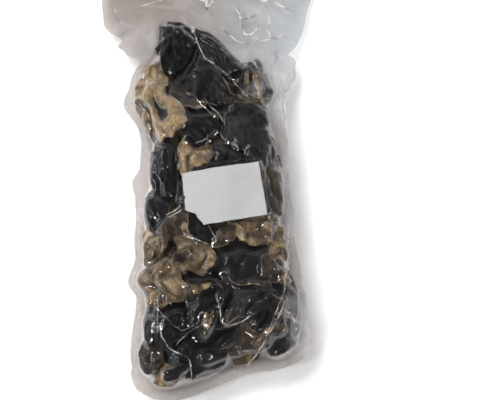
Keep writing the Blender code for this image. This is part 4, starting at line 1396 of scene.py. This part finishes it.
class WOODEAR_OT_front_ears(bpy.types.Operator):
    """Builds the ears that show through the front film"""

    bl_idname = "woodear.front_ears"
    bl_label = "Front Ears"

    def execute(self, context):
        make_ears(FRONT_EARS, 1)
        return {"FINISHED"}


class WOODEAR_OT_inner_ears(bpy.types.Operator):
    """Builds the ears in the middle of the pack"""

    bl_idname = "woodear.inner_ears"
    bl_label = "Inner Ears"

    def execute(self, context):
        make_ears(inner_ears(), 1)
        return {"FINISHED"}


class WOODEAR_OT_scraps(bpy.types.Operator):
    """Builds the torn scraps that lie on the ears"""

    bl_idname = "woodear.scraps"
    bl_label = "Scraps"

    def execute(self, context):
        make_ears(SCRAPS, 1)
        return {"FINISHED"}


class WOODEAR_OT_back_ears(bpy.types.Operator):
    """Builds the ears against the back film"""

    bl_idname = "woodear.back_ears"
    bl_label = "Back Ears"

    def execute(self, context):
        make_ears(back_ears(), -1)
        return {"FINISHED"}


class WOODEAR_OT_slip(bpy.types.Operator):
    """Builds the blank paper slip"""

    bl_idname = "woodear.slip"
    bl_label = "Paper Slip"

    def execute(self, context):
        slip = make_slip()
        slip.data.materials.append(paper_material())
        dress(slip, "slip_paper", "paper_slip")
        return {"FINISHED"}


class WOODEAR_OT_front_film(bpy.types.Operator):
    """Draws the front film down over the ears"""

    bl_idname = "woodear.front_film"
    bl_label = "Front Film"

    def execute(self, context):
        make_film(1)
        return {"FINISHED"}


class WOODEAR_OT_back_film(bpy.types.Operator):
    """Draws the back film up over the ears"""

    bl_idname = "woodear.back_film"
    bl_label = "Back Film"

    def execute(self, context):
        make_film(-1)
        return {"FINISHED"}


class WOODEAR_OT_creases(bpy.types.Operator):
    """Pinches the front film into standing creases"""

    bl_idname = "woodear.creases"
    bl_label = "Film Creases"

    def execute(self, context):
        dress(make_creases(), "clear_film")
        return {"FINISHED"}


class WOODEAR_OT_seal(bpy.types.Operator):
    """Presses the ribs of the heat seal across the mouth"""

    bl_idname = "woodear.seal"
    bl_label = "Heat Seal"

    def execute(self, context):
        dress(make_seal(), "clear_film")
        return {"FINISHED"}


class WOODEAR_OT_crumbs(bpy.types.Operator):
    """Scatters crumbs in the pockets under the front film"""

    bl_idname = "woodear.crumbs"
    bl_label = "Crumbs"

    def execute(self, context):
        dress(make_crumbs(), "brown_face")
        return {"FINISHED"}


class WOODEAR_OT_stage(bpy.types.Operator):
    """Sets the floor, the lights and the camera"""

    bl_idname = "woodear.stage"
    bl_label = "Stage"

    def execute(self, context):
        make_stage()
        return {"FINISHED"}


def make_sky(strength):
    """An even sky that is bright low down and darker overhead, as in a studio with pale walls."""
    world = bpy.data.worlds.new("studio_walls")
    world.use_nodes = True
    nodes, links = world.node_tree.nodes, world.node_tree.links
    height = nodes.new("ShaderNodeSeparateXYZ")
    walls = nodes.new("ShaderNodeMapRange")
    walls.inputs["From Min"].default_value, walls.inputs["From Max"].default_value = 0.25, 0.95
    walls.inputs["To Min"].default_value, walls.inputs["To Max"].default_value = strength, strength * 0.16
    links.new(nodes.new("ShaderNodeTexCoord").outputs["Generated"], height.inputs[0])
    links.new(height.outputs["Z"], walls.inputs["Value"])
    links.new(walls.outputs["Result"], nodes["Background"].inputs["Strength"])
    nodes["Background"].inputs["Color"].default_value = (0.97, 0.98, 1.0, 1.0)
    return world


CAMERA_TARGET, CAMERA_DISTANCE, CAMERA_ELEVATION = Vector((0.02999, -0.03137, 0.030)), 0.83, math.radians(72)


def make_stage():
    """A pale floor, an even sky, two softboxes that don't mirror, and three lamps that glint in the film."""
    studio = settings().studio
    scene = bpy.context.scene
    mesh = bpy.data.meshes.new("floor")
    size = 6.0
    corners = [(x * size, y * size, 0.0) for x, y in ((-1, -1), (1, -1), (1, 1), (-1, 1))]
    mesh.from_pydata(corners, [], [(0, 1, 2, 3)])
    floor = bpy.data.objects.new("floor", mesh)
    scene.collection.objects.link(floor)
    add, finish = new_material("floor_card")
    floor_shader = add("BsdfPrincipled", {"Base Color": (*studio.floor_colour, 1.0), "Roughness": 0.9})
    mesh.materials.append(finish(floor_shader.outputs["BSDF"]))
    floor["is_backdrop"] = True

    scene.world = make_sky(studio.sky)

    centre = Vector((0.0, 0.0, 0.03))
    for name, azimuth, elevation, far, wide, power, glints in (
        ("softbox", -140, 52, 1.5, 0.9, studio.key, False),
        ("side_softbox", 60, 50, 1.5, 0.8, studio.fill, False),
        ("key", -55, 50, 1.3, 0.22, studio.glint, True),
        ("right", 70, 42, 1.4, 0.16, studio.glint * 0.35, True),
        ("window", -95, 46, 1.5, 0.5, studio.glint * 0.5, True),
    ):
        light = bpy.data.lights.new(name, "AREA")
        light.size, light.energy = wide, power
        lamp = bpy.data.objects.new(name, light)
        lamp.visible_glossy = glints
        a, e = math.radians(azimuth), math.radians(elevation)
        way = Vector((math.sin(a) * math.cos(e), -math.cos(a) * math.cos(e), math.sin(e)))
        lamp.location = centre + way * far
        lamp.rotation_euler = (-way).to_track_quat("-Z", "Y").to_euler()
        scene.collection.objects.link(lamp)

    lens = bpy.data.cameras.new("camera")
    lens.lens, lens.sensor_width = 70.0, 36.0
    camera = bpy.data.objects.new("camera", lens)
    way = Vector((0.0, -math.cos(CAMERA_ELEVATION), math.sin(CAMERA_ELEVATION)))
    camera.location = CAMERA_TARGET + way * CAMERA_DISTANCE
    camera.rotation_euler = (-way).to_track_quat("-Z", "Y").to_euler()
    scene.collection.objects.link(camera)
    scene.camera = camera
    scene.view_settings.view_transform = "Standard"


OPERATORS = (
    WOODEAR_OT_stage, WOODEAR_OT_front_ears, WOODEAR_OT_inner_ears, WOODEAR_OT_back_ears, WOODEAR_OT_slip,
    WOODEAR_OT_scraps, WOODEAR_OT_crumbs, WOODEAR_OT_front_film, WOODEAR_OT_back_film, WOODEAR_OT_creases,
    WOODEAR_OT_seal,
)


class WOODEAR_PT_pack(bpy.types.Panel):
    """Lists the pack's settings and pieces"""

    bl_idname = "WOODEAR_PT_pack"
    bl_label = "Wood Ear Pack"
    bl_space_type = "VIEW_3D"
    bl_region_type = "UI"
    bl_category = "Wood Ear Pack"

    def draw(self, context):
        for group in (settings().ears, settings().film, settings().slip, settings().studio):
            box = self.layout.box()
            for key in group.bl_rna.properties.keys()[2:]:
                box.prop(group, key)
        for operator in OPERATORS:
            self.layout.operator(operator.bl_idname)


CLASSES = (
    WoodEarSettings, PouchFilmSettings, PaperSlipSettings, StudioSettings, WoodEarPackSettings, *OPERATORS,
    WOODEAR_PT_pack,
)


def register():
    for kind in CLASSES:
        bpy.utils.register_class(kind)
    bpy.types.Scene.wood_ear_pack = bpy.props.PointerProperty(type=WoodEarPackSettings)


def unregister():
    del bpy.types.Scene.wood_ear_pack
    for kind in reversed(CLASSES):
        bpy.utils.unregister_class(kind)


def main():
    register()
    for operator in OPERATORS:
        group, name = operator.bl_idname.split(".")
        getattr(getattr(bpy.ops, group), name)()
    boxes = {"cad": CAD_BOX, "visual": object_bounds()}
    {key: [list(corner) for corner in box] for key, box in boxes.items()}


if __name__ == "__main__":
    main()
